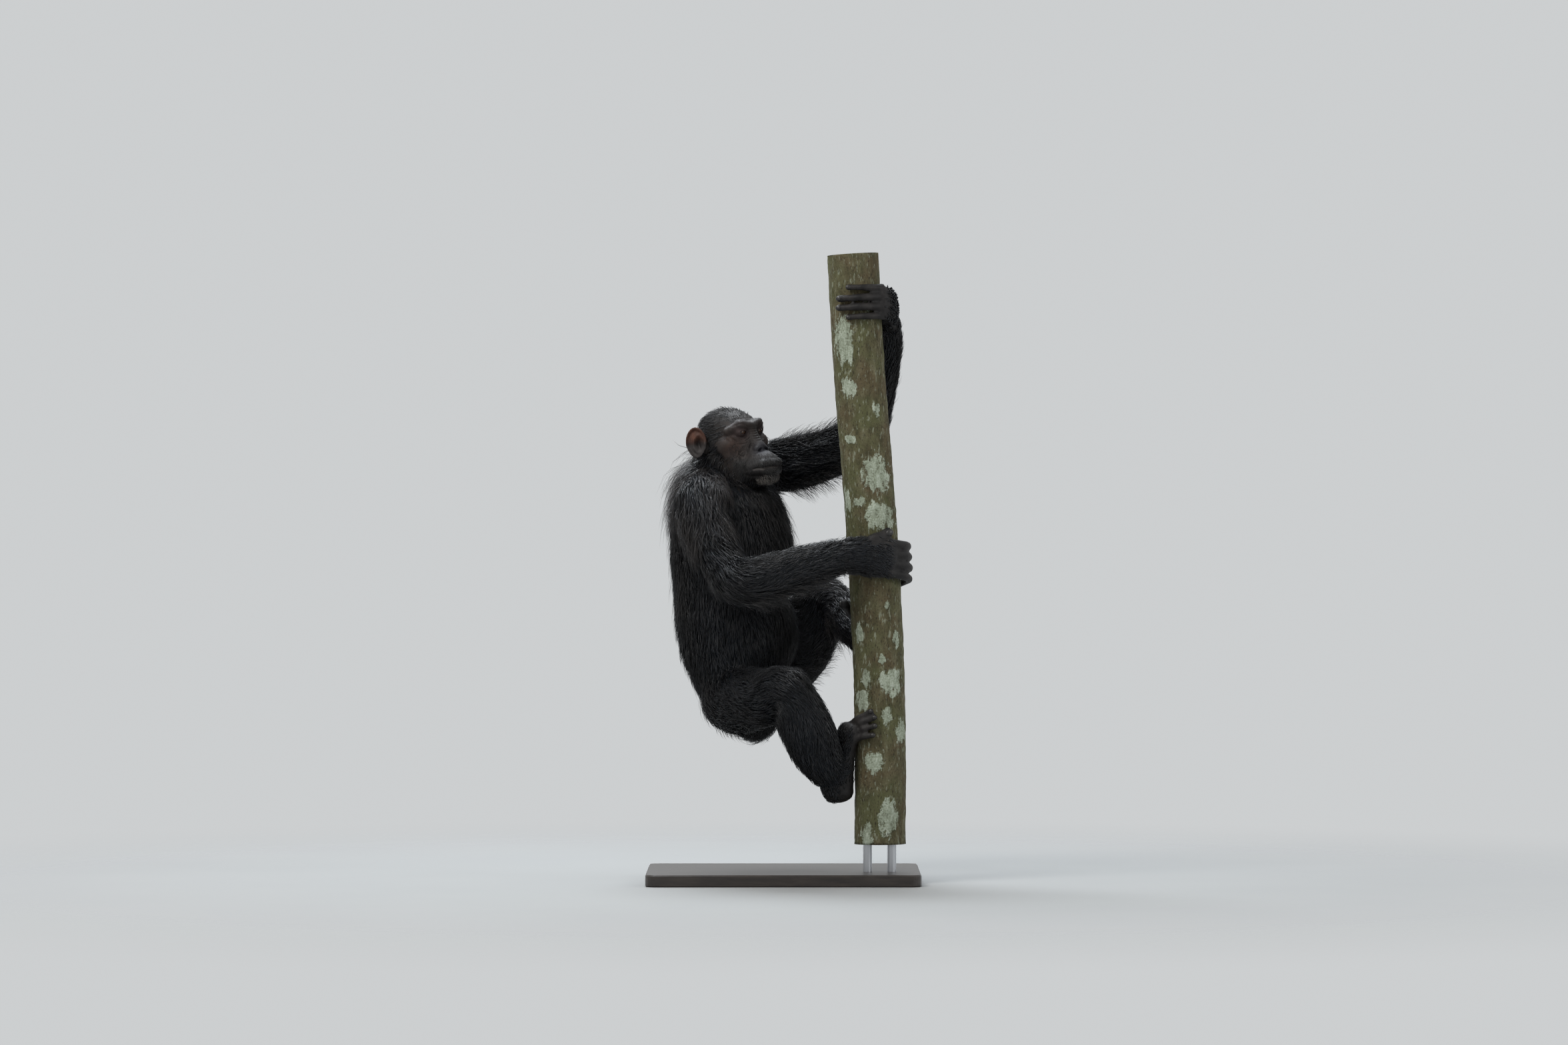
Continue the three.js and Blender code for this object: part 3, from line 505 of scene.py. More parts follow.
# Forms are ellipsoids (centre, size, softness) and bars (from, to, two radii, softness). The socket is hollowed.
headSwells = [
    ((-2, 0, 30), (82, 65, 65), 1), ((44, 0, 36), (44, 46, 34), 22), ((66, 0, -6), (38, 48, 46), 18),
    ((92, 0, -53), (64, 45, 39), 20), ((66, 0, -66), (78, 50, 36), 22), ((128, 0, -82), (24, 26, 20), 16),
    ((64, 54, 8), (22, 62, 8), 12, 10, 22), ((6, 48, -30), (62, 42, -76), 20, 18, 24),
    ((50, 60, -4), (72, 46, -44), 12, 12, 30),
]
headDetails = [
    ((60, 57, 39), (84, 30, 50), 9, 10, 12), ((84, 30, 50), (91, 0, 46), 10, 9, 12),
    ((79, 29, 33), (14.8, 15.6, 14.6), 4), ((84, 0, 34), (110, 0, -4), 9, 12, 14),
    ((117, 0, -9), (115, 14, -14), 9, 7.5, 7), ((156, 0, -53), (143, 26, -53), 8, 8, 8),
    ((143, 26, -53), (110, 42, -58), 8, 5, 8), ((155, 0, -70), (141, 25, -70), 8, 8, 8),
    ((141, 25, -70), (110, 41, -67), 8, 5, 8),
]
socket = {"bar": ((93, 30, 33), (112, 38, 28), 11, 14), "soft": 16}


def withForms(d, p, forms):
    for form in forms:
        more = ellipsoidDistance(p, *map(np.array, form[:2])) if len(form) == 3 else barDistance(p, *form[:4])
        d = joined(d, more, form[-1])
    return d


def headDistance(points):
    p = mirrored(points)
    d = withForms(np.full(len(p), 1e3), p, headSwells)
    d = -joined(-d, barDistance(p, *socket["bar"]), socket["soft"])
    return withForms(d, p, headDetails)


castFrom = {"reach": 190.0, "step": 4, "least": 16}


def headSurface(directions):  # where rays out of the head's core leave it: steps inwards, then halvings
    outside = np.full(len(directions), castFrom["reach"])
    inside = outside.copy()
    searching = np.ones(len(directions), bool)
    while searching.any():
        inside[searching] = outside[searching] - castFrom["step"]
        d = headDistance(headCore + directions[searching] * inside[searching, None])
        rows = np.flatnonzero(searching)
        hit = (d <= 0) | (inside[rows] < castFrom["least"])
        outside[rows[~hit]] = inside[rows[~hit]]
        searching[rows[hit]] = False
    for _ in range(10):
        middle = (inside + outside) / 2
        out = headDistance(headCore + directions * middle[:, None]) > 0
        outside = np.where(out, middle, outside)
        inside = np.where(out, inside, middle)
    return headCore + directions * outside[:, None]


nostril = {"towards": (121, 10.5, -17), "long": 5.6, "short": 3.0, "deep": 7.0, "slant": (-0.3, 0.82, -0.48)}
mouth = {"centre": (100, 0, -61.5), "reach": 60, "half": 46, "depth": 3.4, "width": 2.1, "droop": 1.5, "swing": 66}
folds = [  # (points near the skin, depth, width), the same on both sides
    ([(116, 21, -4), (110, 32, -22), (98, 44, -42), (92, 46, -56)], 2.2, 4.0),  # beside the nose and the muzzle
    ([(86, 12, 20), (98, 16, 2), (104, 22, -8)], 1.6, 3.5),  # beside the bridge of the nose
    ([(70, 48, 20), (82, 42, 12), (92, 30, 10), (96, 18, 14)], 1.4, 2.4),  # under the lower lid
    ([(62, 50, 16), (74, 47, 5), (86, 36, 2), (94, 24, 4)], 1.1, 2.4),
    ([(70, 45, 43), (84, 31, 43), (94, 17, 41)], 1.6, 2.0),  # over the upper lid
    ([(122, 0, -22), (140, 0, -34), (152, 0, -45)], 0.9, 2.0),  # middle of the upper lip
    ([(134, 30, -84), (116, 40, -82), (100, 46, -76)], 1.5, 4.0),  # under the lower lip
]


def castThrough(points):  # places of the head's surface seen from its core through points
    return headSurface(unit(np.asarray(points, float) - headCore))


def distanceToLine(points, line):
    best = np.full(len(points), 1e3)
    for start, end in zip(line, line[1:]):
        best = np.minimum(best, barDistance(points, start, end, 0, 0))
    return best


def mouthLine():
    swing = np.radians(np.linspace(-mouth["swing"], mouth["swing"], 25))
    across, forwards = mouth["half"] * np.sin(swing), mouth["centre"][0] + mouth["reach"] * np.cos(swing)
    height = mouth["centre"][2] - mouth["droop"] * np.abs(np.sin(swing))
    return castThrough(np.stack([forwards, across, height], axis=1))


creases = {  # depth, and spacing in millimetres or lines for one radian
    "cheek": (0.45, 5), "eye": (0.5, 4.6), "bridge": (0.6, 6), "forehead": (0.35, 6.5), "lip": (0.35, 46),
    "corner": (0.45, 11), "cornerAt": (70, 46, 31),
}
pores = ((0.30, 3.4, 0), (0.40, 8, 2), (0.5, 14, 1))  # depth, size, and which of the three drifts


# The limits of each smoothStep here are places in the head's frame: x forwards, y to a side, z upwards.
def headRelief(p):  # how far the skin is pressed in, in millimetres, at points of the head's surface
    x, y, z = p.T
    near = mirrored(p)

    def waves(name, along):
        depth, spacing = creases[name]
        return depth * np.cos(along * fullTurn / spacing)

    def rays(name, angle):
        depth, number = creases[name]
        return depth * np.cos(angle * number + drift(p, {"lip": 30, "corner": 18}[name])[:, 1])

    pressed = mouth["depth"] * np.exp(-((distanceToLine(p, mouthLine()) / mouth["width"]) ** 2))
    for line, depth, width in folds:
        away = distanceToLine(near, castThrough(spline(line, np.linspace(0, 1, 14))))
        pressed += depth * np.exp(-((away / width) ** 2))
        if depth > 2:  # fine creases that run beside the deepest fold
            pressed += waves("cheek", away + 0.6 * drift(p, 16)[:, 2]) * np.exp(-away / 13)
    fromEye = lengths(near - eyes["at"])
    below = smoothStep(34, 24, z) * smoothStep(15, 18, fromEye) * smoothStep(34, 24, fromEye)
    pressed += below * waves("eye", fromEye + drift(p, 20)[:, 0])
    bridge = smoothStep(16, 8, near[:, 1]) * smoothStep(2, 10, z) * smoothStep(44, 36, z) * (x > 70)
    pressed += bridge * waves("bridge", z)
    upperLip = smoothStep(-56, -48, z) * smoothStep(-22, -32, z) * smoothStep(112, 124, x)
    pressed += upperLip * rays("lip", np.arctan2(y, x - 90))
    forehead = smoothStep(56, 64, z) * smoothStep(92, 82, z) * smoothStep(34, 50, x)
    pressed += forehead * waves("forehead", z + 1.2 * drift(p, 26)[:, 0])
    back, _, rise = (near - creases["cornerAt"]).T
    fromCorner = lengths(near - creases["cornerAt"])
    outwards = smoothStep(5, 11, fromCorner) * smoothStep(30, 18, fromCorner) * (back < 4)
    pressed += outwards * rays("corner", np.arctan2(rise, -back))
    fromNostril = near - castThrough([nostril["towards"]])[0]
    slant = unit(nostril["slant"])
    across = np.cross(slant, unit(np.array(nostril["towards"]) - headCore))
    reach = (fromNostril @ slant / nostril["long"]) ** 2 + (fromNostril @ across / nostril["short"]) ** 2
    pressed += nostril["deep"] * np.exp(-(reach**2))
    return pressed + smoothStep(40, 60, x) * sum(depth * drift(p, size)[:, k] for depth, size, k in pores)


refined = {  # how close to these aims (the cosine of an angle) the head's faces are halved
    0.55: [(120, 0, -20)],
    0.955: [(92, 30, 33), (92, -30, 33), (120, 0, -14), (150, 0, -58), (132, 30, -60), (132, -30, -60)],
}
headMesh = bmesh.new()
bmesh.ops.create_icosphere(headMesh, subdivisions=6, radius=1)
for closeness, anchors in refined.items():
    aims = unit(np.array(anchors, float) - headCore)
    centres = unit([face.calc_center_median()[:] for face in headMesh.faces])
    near = np.max(centres @ aims.T, axis=1) > closeness
    chosen = {edge for face, close in zip(headMesh.faces, near) if close for edge in face.edges}
    bmesh.ops.subdivide_edges(headMesh, edges=list(chosen), cuts=1, use_grid_fill=True)
    bmesh.ops.triangulate(headMesh, faces=headMesh.faces)
directions = unit([v.co[:] for v in headMesh.verts])
plain = headSurface(directions)
relief = headRelief(plain)
for vert, spot in zip(headMesh.verts, fromHead(plain - directions * relief[:, None]) * mm):
    vert.co = spot
bmesh.ops.recalc_face_normals(headMesh, faces=headMesh.faces)
print("stage: head", len(headMesh.faces))

ear = {
    "at": (-24, 86, 20), "wide": 27, "tall": 39, "thick": 3.2, "swing": 32, "tilt": 10, "cup": 3.0,
    "rim": (5.0, 0.92, 0.11), "groove": (-1.6, 0.74, 0.09), "fold": (3.4, 1.12, 0.17),  # height, place, width
    "bowl": (-10.0, -0.30, -0.08), "bowlSize": (0.52, 0.50), "flap": (4.0, -0.72, -0.10, 0.16),
    "root": (-14, 66, 12), "rootSize": (0.013, 0.015, 0.024), "voxel": 0.0018,
}


def earShape(across, upwards):  # how far the ear's sheet stands forwards, in shares of its half width and height
    def ridge(name, reach):
        height, place, width = ear[name]
        return height * np.exp(-(((reach - place) / width) ** 2))

    reach = np.hypot(across, upwards)
    deep, x, z = ear["bowl"]
    inBowl = np.hypot((across - x) / ear["bowlSize"][0], (upwards - z) / ear["bowlSize"][1])
    backOrTop = smoothStep(-0.75, 0.1, across + 0.6 * upwards)
    rim, groove = ridge("rim", reach) * backOrTop, ridge("groove", reach) * backOrTop
    fold = ridge("fold", inBowl) * smoothStep(-0.6, 0.0, across)
    high, x, z, width = ear["flap"]
    flap = high * np.exp(-((((across - x) / width) ** 2) + ((upwards - z) / width) ** 2))
    return rim + groove + fold + deep * smoothStep(1.0, 0.25, inBowl) + flap + ear["cup"] * reach**2


def onSide(at, side):  # a place on the animal's left side (1), or its mirrored place on the right (-1)
    return at[0], side * at[1], at[2]


def earMesh(side):
    swing = math.radians(90 - ear["swing"])
    out = Vector((math.cos(swing), side * math.sin(swing), 0))
    rimwards = Vector((-out.y * side, out.x * side, 0))
    tilt = math.radians(ear["tilt"])
    bm = bmesh.new()
    bmesh.ops.create_uvsphere(bm, u_segments=72, v_segments=48, radius=1)
    across, upwards, pole = np.array([v.co[:] for v in bm.verts]).T
    narrow = 1 - 0.16 * smoothStep(-0.1, -1, upwards) - 0.05 * smoothStep(0.3, 1, upwards)
    forwards = earShape(across, upwards) + np.sign(pole) * ear["thick"] * np.sqrt(np.abs(pole))
    for vert, x, z, push in zip(bm.verts, across * narrow * ear["wide"], upwards * ear["tall"], forwards):
        leaned = rimwards * (x * math.cos(tilt) - z * math.sin(tilt) * 0.6) + Vector((0, 0, z + 0.15 * x))
        spot = Vector(onSide(ear["at"], side)) + leaned + out * push
        vert.co = headMatrix @ spot * mm
    root = Matrix.Translation(headMatrix @ Vector(onSide(ear["root"], side)) * mm)
    turned = root @ headMatrix.to_3x3().to_4x4() @ Matrix.Diagonal((*ear["rootSize"], 1))
    bmesh.ops.create_uvsphere(bm, u_segments=24, v_segments=16, radius=1, matrix=turned)
    return remeshed(f"ear{side}", bm, ear["voxel"], 1)


ears = [earMesh(1), earMesh(-1)]
print("stage: ears", [len(bm.faces) for bm in ears])


def eyeForms(size, turns=None, shift=(0, 0, 0)):  # a pair of ellipsoids at the eyes, turned as the head is or not
    bm = bmesh.new()
    for side in (1, -1):
        at = headMatrix @ Vector(onSide(Vector(eyes["at"]) + Vector(shift), side))
        turn = Matrix.Identity(3)
        if turns:
            turn = headMatrix.to_3x3() @ Matrix.Rotation(math.radians(side * turns[0]), 3, "Z")
            turn = turn @ Matrix.Rotation(math.radians(side * turns[1]), 3, "X")
        addEllipsoid(bm, at, size, turn, (32, 20))
    return bm


def skinFinish():  # dark, satin, finely wrinkled skin, in the colours of the mesh's own attribute
    shader = Shader("darkSkin")
    place = shader.place()
    tone = shader.attribute("tone", 0)
    mottle = shader.speckle(place, 60, 8, 0.72)
    dark = shader.mix(1.0, tone, (0.50, 0.46, 0.46, 1), "MULTIPLY")
    light = shader.mix(1.0, tone, (1.45, 1.42, 1.40, 1), "MULTIPLY")
    cells = {"Vector": place, "Scale": 420, "Randomness": 1.0}
    height = shader.node("ShaderNodeTexVoronoi", {"feature": "DISTANCE_TO_EDGE"}, cells) * 1.4
    height = height + shader.speckle(place, 900, 3) * 0.5 + shader.speckle(place, 200) * 0.4
    return shader.finish({
        "Base Color": shader.mix(shader.ranged(mottle, 0.34, 0.66), dark, light), "Specular IOR Level": 0.24,
        "Roughness": shader.ranged(mottle, 0, 1, (0.48, 0.66)), "Normal": shader.bump(height, 0.0005, 0.6)})


skinMaterial = skinFinish()
skinTones = {
    "underCoat": (0.006, 0.0056, 0.0057), "hand": (0.0090, 0.0083, 0.0083),
    "knuckle": (0.0190, 0.0172, 0.0165), "face": (0.0165, 0.0135, 0.0120),
    "crown": (0.0150, 0.0126, 0.0112), "cheek": (0.034, 0.0190, 0.0140), "nose": (0.0185, 0.0205, 0.0270),
    "muzzle": (0.0098, 0.0094, 0.0092), "lips": (0.025, 0.0220, 0.0205), "lids": (0.038, 0.0235, 0.0245),
    "earRim": (0.066, 0.030, 0.020), "earLobe": (0.037, 0.0335, 0.0325), "earBowl": (0.010, 0.0082, 0.0078),
}


def fromEar(p):  # distances from the middle of the nearer ear, in the head's frame
    return lengths(mirrored(p) - ear["at"])


def onEar(p):
    return (np.abs(p[:, 1]) > 69) & (fromEar(p) < 50)


def vertexPlaces(mesh):
    spots = np.zeros(len(mesh.vertices) * 3)
    mesh.vertices.foreach_get("co", spots)
    return spots.reshape(-1, 3) / mm


def addNumbers(mesh, name, values):
    mesh.attributes.new(name, "FLOAT", "POINT").data.foreach_set("value", values)


def addColours(mesh, name, values):
    colours = np.ones((len(mesh.vertices), 4))
    colours[:, :3] = values
    mesh.attributes.new(name, "FLOAT_COLOR", "POINT").data.foreach_set("color", colours.reshape(-1))


def fromLines(points, lines):  # how far points are from the nearest of some lines of stations
    return np.min([distanceToLine(points, np.array(line)[:, :3]) for line in lines], axis=0)


# The places and limits here are millimetres in the head's frame, except those of the hands.
def toneSkin(mesh):  # the skin's colour at each vertex, by the part of the body that it is on
    points = vertexPlaces(mesh)
    local = toHead(points)
    aside = mirrored(local)
    x, y, z = aside.T
    tone = np.tile(skinTones["underCoat"], (len(points), 1)).astype(float)

    def paint(name, share):
        tone[:] = tone + (np.array(skinTones[name]) - tone) * np.clip(share, 0, 1)[:, None]

    def near(at, radius):
        return np.exp(-((lengths(aside - at) / radius) ** 2) * 1.2)

    extremityLines = [*digits, palmRight[1:], palmLeft[1:], soleRight, soleLeft]
    paint("hand", 1 - smoothStep(46, 64, fromLines(points, extremityLines)))
    joints = [stations[place][:3] for stations in digits for place in (0, 2, -2)]
    paint("knuckle", 0.8 * smoothStep(22, 10, np.min([lengths(points - joint) for joint in joints], axis=0)))
    onHead = headDistance(local) < 14
    paint("crown", onHead * smoothStep(-30, 20, x))
    paint("face", onHead * smoothStep(30, 60, x))
    paint("cheek", onHead * 0.75 * near((70, 56, 2), 30))
    paint("muzzle", onHead * smoothStep(-28, -44, z) * smoothStep(60, 90, x))
    paint("nose", onHead * 0.9 * near((124, 6, -20), 26))
    paint("lids", onHead * 0.8 * near(eyes["at"], 22))
    paint("lips", onHead * smoothStep(5.5, 2.0, distanceToLine(local, mouthLine())) * (z < -60))
    bare, above = onEar(local), z - ear["at"][2]
    paint("earRim", bare * smoothStep(-12, 14, above))
    paint("earLobe", bare * smoothStep(2, -14, above))
    paint("earBowl", bare * 0.9 * near((-22, 76, 16), 15))
    tone *= 1 + 0.10 * drift(points, 9)[:, :1]
    addColours(mesh, "tone", np.clip(tone, 0.004, 1))


def combined(first, others, operation):
    for other in others:
        modifier = first.modifiers.new("combine", "BOOLEAN")
        modifier.operation = operation
        modifier.solver = "MANIFOLD"
        modifier.object = other
    whole = bpy.data.meshes.new_from_object(first.evaluated_get(bpy.context.evaluated_depsgraph_get()))
    first.modifiers.clear()
    first.data = whole
    for other in others:
        bpy.data.objects.remove(other)
    return first


headPart = newObject("headPart", headMesh, skinMaterial)
earParts = [newObject(f"earPart{number}", bm, skinMaterial) for number, bm in enumerate(ears)]
combined(headPart, earParts, "UNION")
lidForms = eyeForms(eyes["opening"], (8, 6), (16, 1.5, -1.5))  # the almond openings of the lids
ballForms = eyeForms((eyes["radius"] + 0.2,) * 3)  # room for the eyeballs
cutters = [newObject("lidCutter", lidForms, skinMaterial), newObject("eyeCutter", ballForms, skinMaterial)]
combined(headPart, cutters, "DIFFERENCE")
skin = newObject("chimpanzeeSkin", body, skinMaterial)
combined(skin, [newObject("limbEndPart", ends, skinMaterial), headPart], "UNION")
skin.data.shade_smooth()
toneSkin(skin.data)
fleshNodes = [
    "head", "ear_left", "ear_right", "torso", "neck", "upper_arm_left", "upper_arm_right", "forearm_left",
    "forearm_right", "hand_left", "hand_right", "thigh_left", "thigh_right", "lower_leg_left", "lower_leg_right",
    "foot_left", "foot_right",
]
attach(skin, "root")
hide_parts(*fleshNodes)
print("stage: skin", len(skin.data.polygons))

# The gaze in the head's frame, the degrees of the iris and of the clear bulge over it, and the bulge's height.
eyeLook = {"gaze": (1, -0.12, -0.06), "iris": 27, "irisSpread": 0.98, "clear": 33, "bulge": 0.9}


def eyeFinish():
    shader = Shader("wetEye")
    ring = shader.attribute("ring")
    iris = shader.ramp(ring * 0.5 + shader.speckle(shader.place(), 1400, 2) * 0.04 - 0.02, [
        (0.0, (0.002, 0.002, 0.002)), (0.28, (0.003, 0.002, 0.002)), (0.34, (0.060, 0.022, 0.007)),
        (0.62, (0.040, 0.015, 0.005)), (0.88, (0.014, 0.006, 0.003)), (1.0, (0.006, 0.004, 0.003))])
    colour = shader.mix(shader.ranged(ring, 1.85, 2.3), iris, (0.020, 0.0125, 0.0095, 1))
    return shader.finish({"Base Color": colour, "Roughness": 0.25, "Specular IOR Level": 0.2, "Coat Weight": 0.7,
                          "Coat Roughness": 0.04})


wetEye = eyeFinish()
for name, side in (("Left", 1), ("Right", -1)):
    gaze = Vector(eyeLook["gaze"]).normalized()
    turn = headMatrix.to_3x3() @ gaze.to_track_quat("Z", "X").to_matrix()
    at = headMatrix @ Vector(onSide(eyes["at"], side))
    bm = bmesh.new()
    bmesh.ops.create_uvsphere(bm, u_segments=48, v_segments=36, radius=eyes["radius"])
    rings = []
    for vert in bm.verts:
        polar = math.degrees(vert.co.angle(Vector((0, 0, 1))))
        rings.append(2 * polar / eyeLook["iris"] * eyeLook["irisSpread"])
        vert.co *= 1 + eyeLook["bulge"] / eyes["radius"] * max(0, 1 - (polar / eyeLook["clear"]) ** 2)
        vert.co = (at + turn @ vert.co) * mm
    eyeball = newObject(f"eye{name}", bm, wetEye)
    addNumbers(eyeball.data, "ring", rings)
    eyeball.data.shade_smooth()
    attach(eyeball, "root")
    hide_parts(f"eye_{name.lower()}")


def nailFinish():
    shader = Shader("darkNail")
    grain = shader.speckle(shader.place(), 260, 3)
    colour = shader.mix(grain, (0.008, 0.007, 0.0065, 1), (0.020, 0.0175, 0.016, 1))
    return shader.finish({"Base Color": colour, "Roughness": 0.42, "Normal": shader.bump(grain, 0.0002, 0.4)})


nailShare = {"wide": 0.64, "long": 0.82, "thick": 0.42, "along": -0.04, "out": 0.64}  # shares of the digit's radius
nailMesh = bmesh.new()
for stations in digits:
    table = np.array(stations)
    tip, before, radius = table[-1, :3], table[-2, :3], table[-1, 3]
    along = unit(tip - before)
    out = awayFromTrunk(tip[None])[0]
    out = unit(out - along * (out @ along))
    place = tip + out * radius * nailShare["out"] + along * radius * nailShare["along"]
    sizes = [way * radius * nailShare[key]
             for way, key in ((np.cross(along, out), "wide"), (along, "long"), (out, "thick"))]
    matrix = placing(*(column * mm for column in (*sizes, place)))
    bmesh.ops.create_uvsphere(nailMesh, u_segments=20, v_segments=14, radius=1, matrix=matrix)
bmesh.ops.recalc_face_normals(nailMesh, faces=nailMesh.faces)
nails = newObject("nails", nailMesh, nailFinish())
nails.data.shade_smooth()
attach(nails, "root")
print("stage: eyes and nails")

# Trunk: the bark is rough in long ridges, and the lichen stands a little proud of it.
barkForm = {
    "sides": 120, "rows": 250, "rough": 1.5, "lobes": 1.4, "sunk": 0.9, "lichenRise": 0.7,
    "ends": (0.08, 0.22, 0.40, 0.58, 0.76, 0.93, 0.985),  # rings on the cut ends
}
lichenPatches = [  # (to the right of the trunk's middle, height, half width, half height)
    (-34, 1345, 26, 70), (-30, 1232, 20, 30), (-36, 1102, 14, 12), (20, 1018, 36, 54), (-57, 950, 12, 38),
    (-24, 950, 15, 14), (24, 914, 42, 40), (26, 690, 8, 13), (6, 560, 11, 16), (-34, 512, 14, 31), (28, 504, 29, 37),
    (-44, 458, 17, 30), (16, 420, 14, 32), (-16, 304, 24, 31), (50, 380, 14, 34), (-32, 124, 16, 38), (22, 168, 26, 52),
    (30, 1440, 12, 22), (34, 1180, 10, 24), (-6, 800, 14, 20), (-48, 620, 10, 30), (44, 610, 10, 24),
]


barkNoises = {  # size round the trunk and along it, shift, and the fractal's roughness, gap and number of levels
    "patches": (44, 84, 7, 0.9, 2.1, 3), "spots": (9, 17, 40, 0.8, 2.1, 3), "ridges": (16, 42, 0, 0.8, 2.0, 4),
}


def barkNoise(name, place):
    wide, tall, shift, *kind = barkNoises[name]
    return noise.fractal(Vector((place.x / wide + shift, place.y / wide, place.z / tall)), *kind)


def lichenAt(place):  # how strongly lichen grows at a point of the bark: placed patches in front, a pattern behind
    broad, spots = barkNoise("patches", place), barkNoise("spots", place)
    across = place.x - trunkCentre(place.z)[0]
    behind = smoothStep(-145, -105, place.y)
    patch = max(1 - ((across - x) / w) ** 2 - ((place.z - z) / h) ** 2 for x, z, w, h in lichenPatches)
    return (broad - 0.16) * behind + (max(0.55 * patch, -0.5)) * (1 - behind) + 0.42 * spots - 0.06


def barkFinish():
    shader = Shader("lichenBark")
    place, upwards = shader.place(), shader.place((1, 1, 0.35))
    grain, fleck = shader.speckle(upwards, 60, 6), shader.speckle(place, 240)
    moss, wood = shader.speckle(place, 14, 3), shader.speckle(place, 22, 5)
    bark = shader.ramp(grain * 0.75 + fleck * 0.28, [
        (0.34, (0.020, 0.016, 0.010)), (0.46, (0.060, 0.046, 0.026)), (0.58, (0.100, 0.084, 0.050)),
        (0.72, (0.170, 0.158, 0.105))])
    for share, colour in [
        (shader.ranged(moss, 0.46, 0.62) * 0.4 + 0.35, (0.075, 0.080, 0.034, 1)),  # mossy
        (shader.ranged(moss, 0.46, 0.34) * 0.3, (0.080, 0.044, 0.024, 1)),  # rusty
        (shader.ranged(shader.speckle(upwards, 330, 3), 0.44, 0.34) * 0.7, (0.016, 0.012, 0.008, 1)),  # pits
        (shader.ranged(shader.speckle(upwards, 150, 5), 0.58, 0.66) * 0.6, (0.22, 0.235, 0.175, 1)),  # specks
    ]:
        bark = shader.mix(share, bark, colour)
    lichen = shader.ramp(fleck * 0.5 + grain * 0.5, [
        (0.36, (0.105, 0.112, 0.075)), (0.50, (0.235, 0.265, 0.200)), (0.64, (0.375, 0.410, 0.340))])
    ragged = shader.attribute("crust") + (grain - 0.5) * 0.9 + (fleck - 0.5) * 0.5
    edge = shader.ranged(ragged, 0.0, 0.16)
    rings = shader.node("ShaderNodeMath", {"operation": "SINE"}, {0: shader.attribute("outwards") * 95 + wood * 5})
    endWood = shader.mix(rings * 0.30 + wood * 0.3 + 0.35, (0.15, 0.098, 0.052, 1), (0.36, 0.26, 0.15, 1))
    colour = shader.mix(shader.attribute("cut"), shader.mix(edge, bark, lichen), endWood)
    height = grain * 1.2 + fleck * 0.6 + edge * 0.5
    return shader.finish({"Base Color": colour, "Roughness": 0.88, "Specular IOR Level": 0.25,
                          "Normal": shader.bump(height, 0.0022, 0.8)})


def barkTrunk():
    bm = bmesh.new()
    line = Tube([(*at, trunk["radius"], trunk["radius"]) for at in trunk["axis"]], (0, 1, 0))
    rings, crusts, reaches = [], [], []
    levels = [(0.0, size) for size in barkForm["ends"]]
    levels += [(i / (barkForm["rows"] - 1), 1.0) for i in range(barkForm["rows"])]
    levels += [(1.0, size) for size in reversed(barkForm["ends"])]
    for t, size in levels:
        centre, along, wideAxis, deepAxis, wide, deep = line.at(t)
        rim = placing(wideAxis * wide * size, deepAxis * deep * size, along, centre)
        verts = bmesh.ops.create_circle(bm, segments=barkForm["sides"], radius=1, matrix=rim)["verts"]
        for vert in verts:
            out = Vector(unit(np.array(vert.co) - centre))
            crust = lichenAt(vert.co)
            ridge = barkNoise("ridges", vert.co)
            lobe = barkForm["lobes"] * math.sin(vert.co.z / 120 + 3 * math.atan2(out.y, out.x))
            if size == 1:
                rise = barkForm["lichenRise"] * min(max(crust * 6, 0), 1)
                vert.co += out * (lobe + barkForm["rough"] * ridge + rise - barkForm["sunk"])
            crusts.append(crust)
            reaches.append(size)
            vert.co *= mm
        rings.append(verts)
    bridged(bm, rings)
    bmesh.ops.recalc_face_normals(bm, faces=bm.faces)
    made = newObject("lichenTrunk", bm, barkFinish())
    addNumbers(made.data, "crust", crusts)
    addNumbers(made.data, "cut", [float(reach < 1) for reach in reaches])
    addNumbers(made.data, "outwards", reaches)
    made.data.shade_smooth()
    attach(made, "root")
    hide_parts("perch_trunk")
    print("stage: trunk", len(made.data.polygons))


barkTrunk()


def standFinish():
    shader = Shader("stainedWood")
    grain = shader.speckle(shader.place((1, 7, 7)), 9, 6, 0.6)
    fine = shader.speckle(shader.place((1, 30, 30)), 30, 3)
    colour = shader.ramp(grain * 0.8 + fine * 0.2, [
        (0.30, (0.010, 0.008, 0.007)), (0.52, (0.028, 0.022, 0.018)), (0.72, (0.050, 0.040, 0.033))])
    return shader.finish({"Base Color": colour, "Roughness": shader.ranged(fine, 0, 1, (0.30, 0.44)),
                          "Normal": shader.bump(grain + fine, 0.0004, 0.35)})


def steelFinish():
    shader = Shader("brushedSteel")
    lines = shader.speckle(shader.place((40, 40, 1)), 30, 3)
    colour = shader.mix(lines, (0.42, 0.43, 0.45, 1), (0.56, 0.57, 0.59, 1))
    return shader.finish({"Base Color": colour, "Metallic": 1.0, "Roughness": shader.ranged(lines, 0, 1, (0.24, 0.40)),
                          "Normal": shader.bump(lines, 0.0002, 0.3)})


steel = steelFinish()
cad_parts["stand_base"].material_slots[0].material = standFinish()
for name in ("stand_rod_left", "stand_rod_right"):
    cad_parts[name].material_slots[0].material = steel
print("stage: stand")

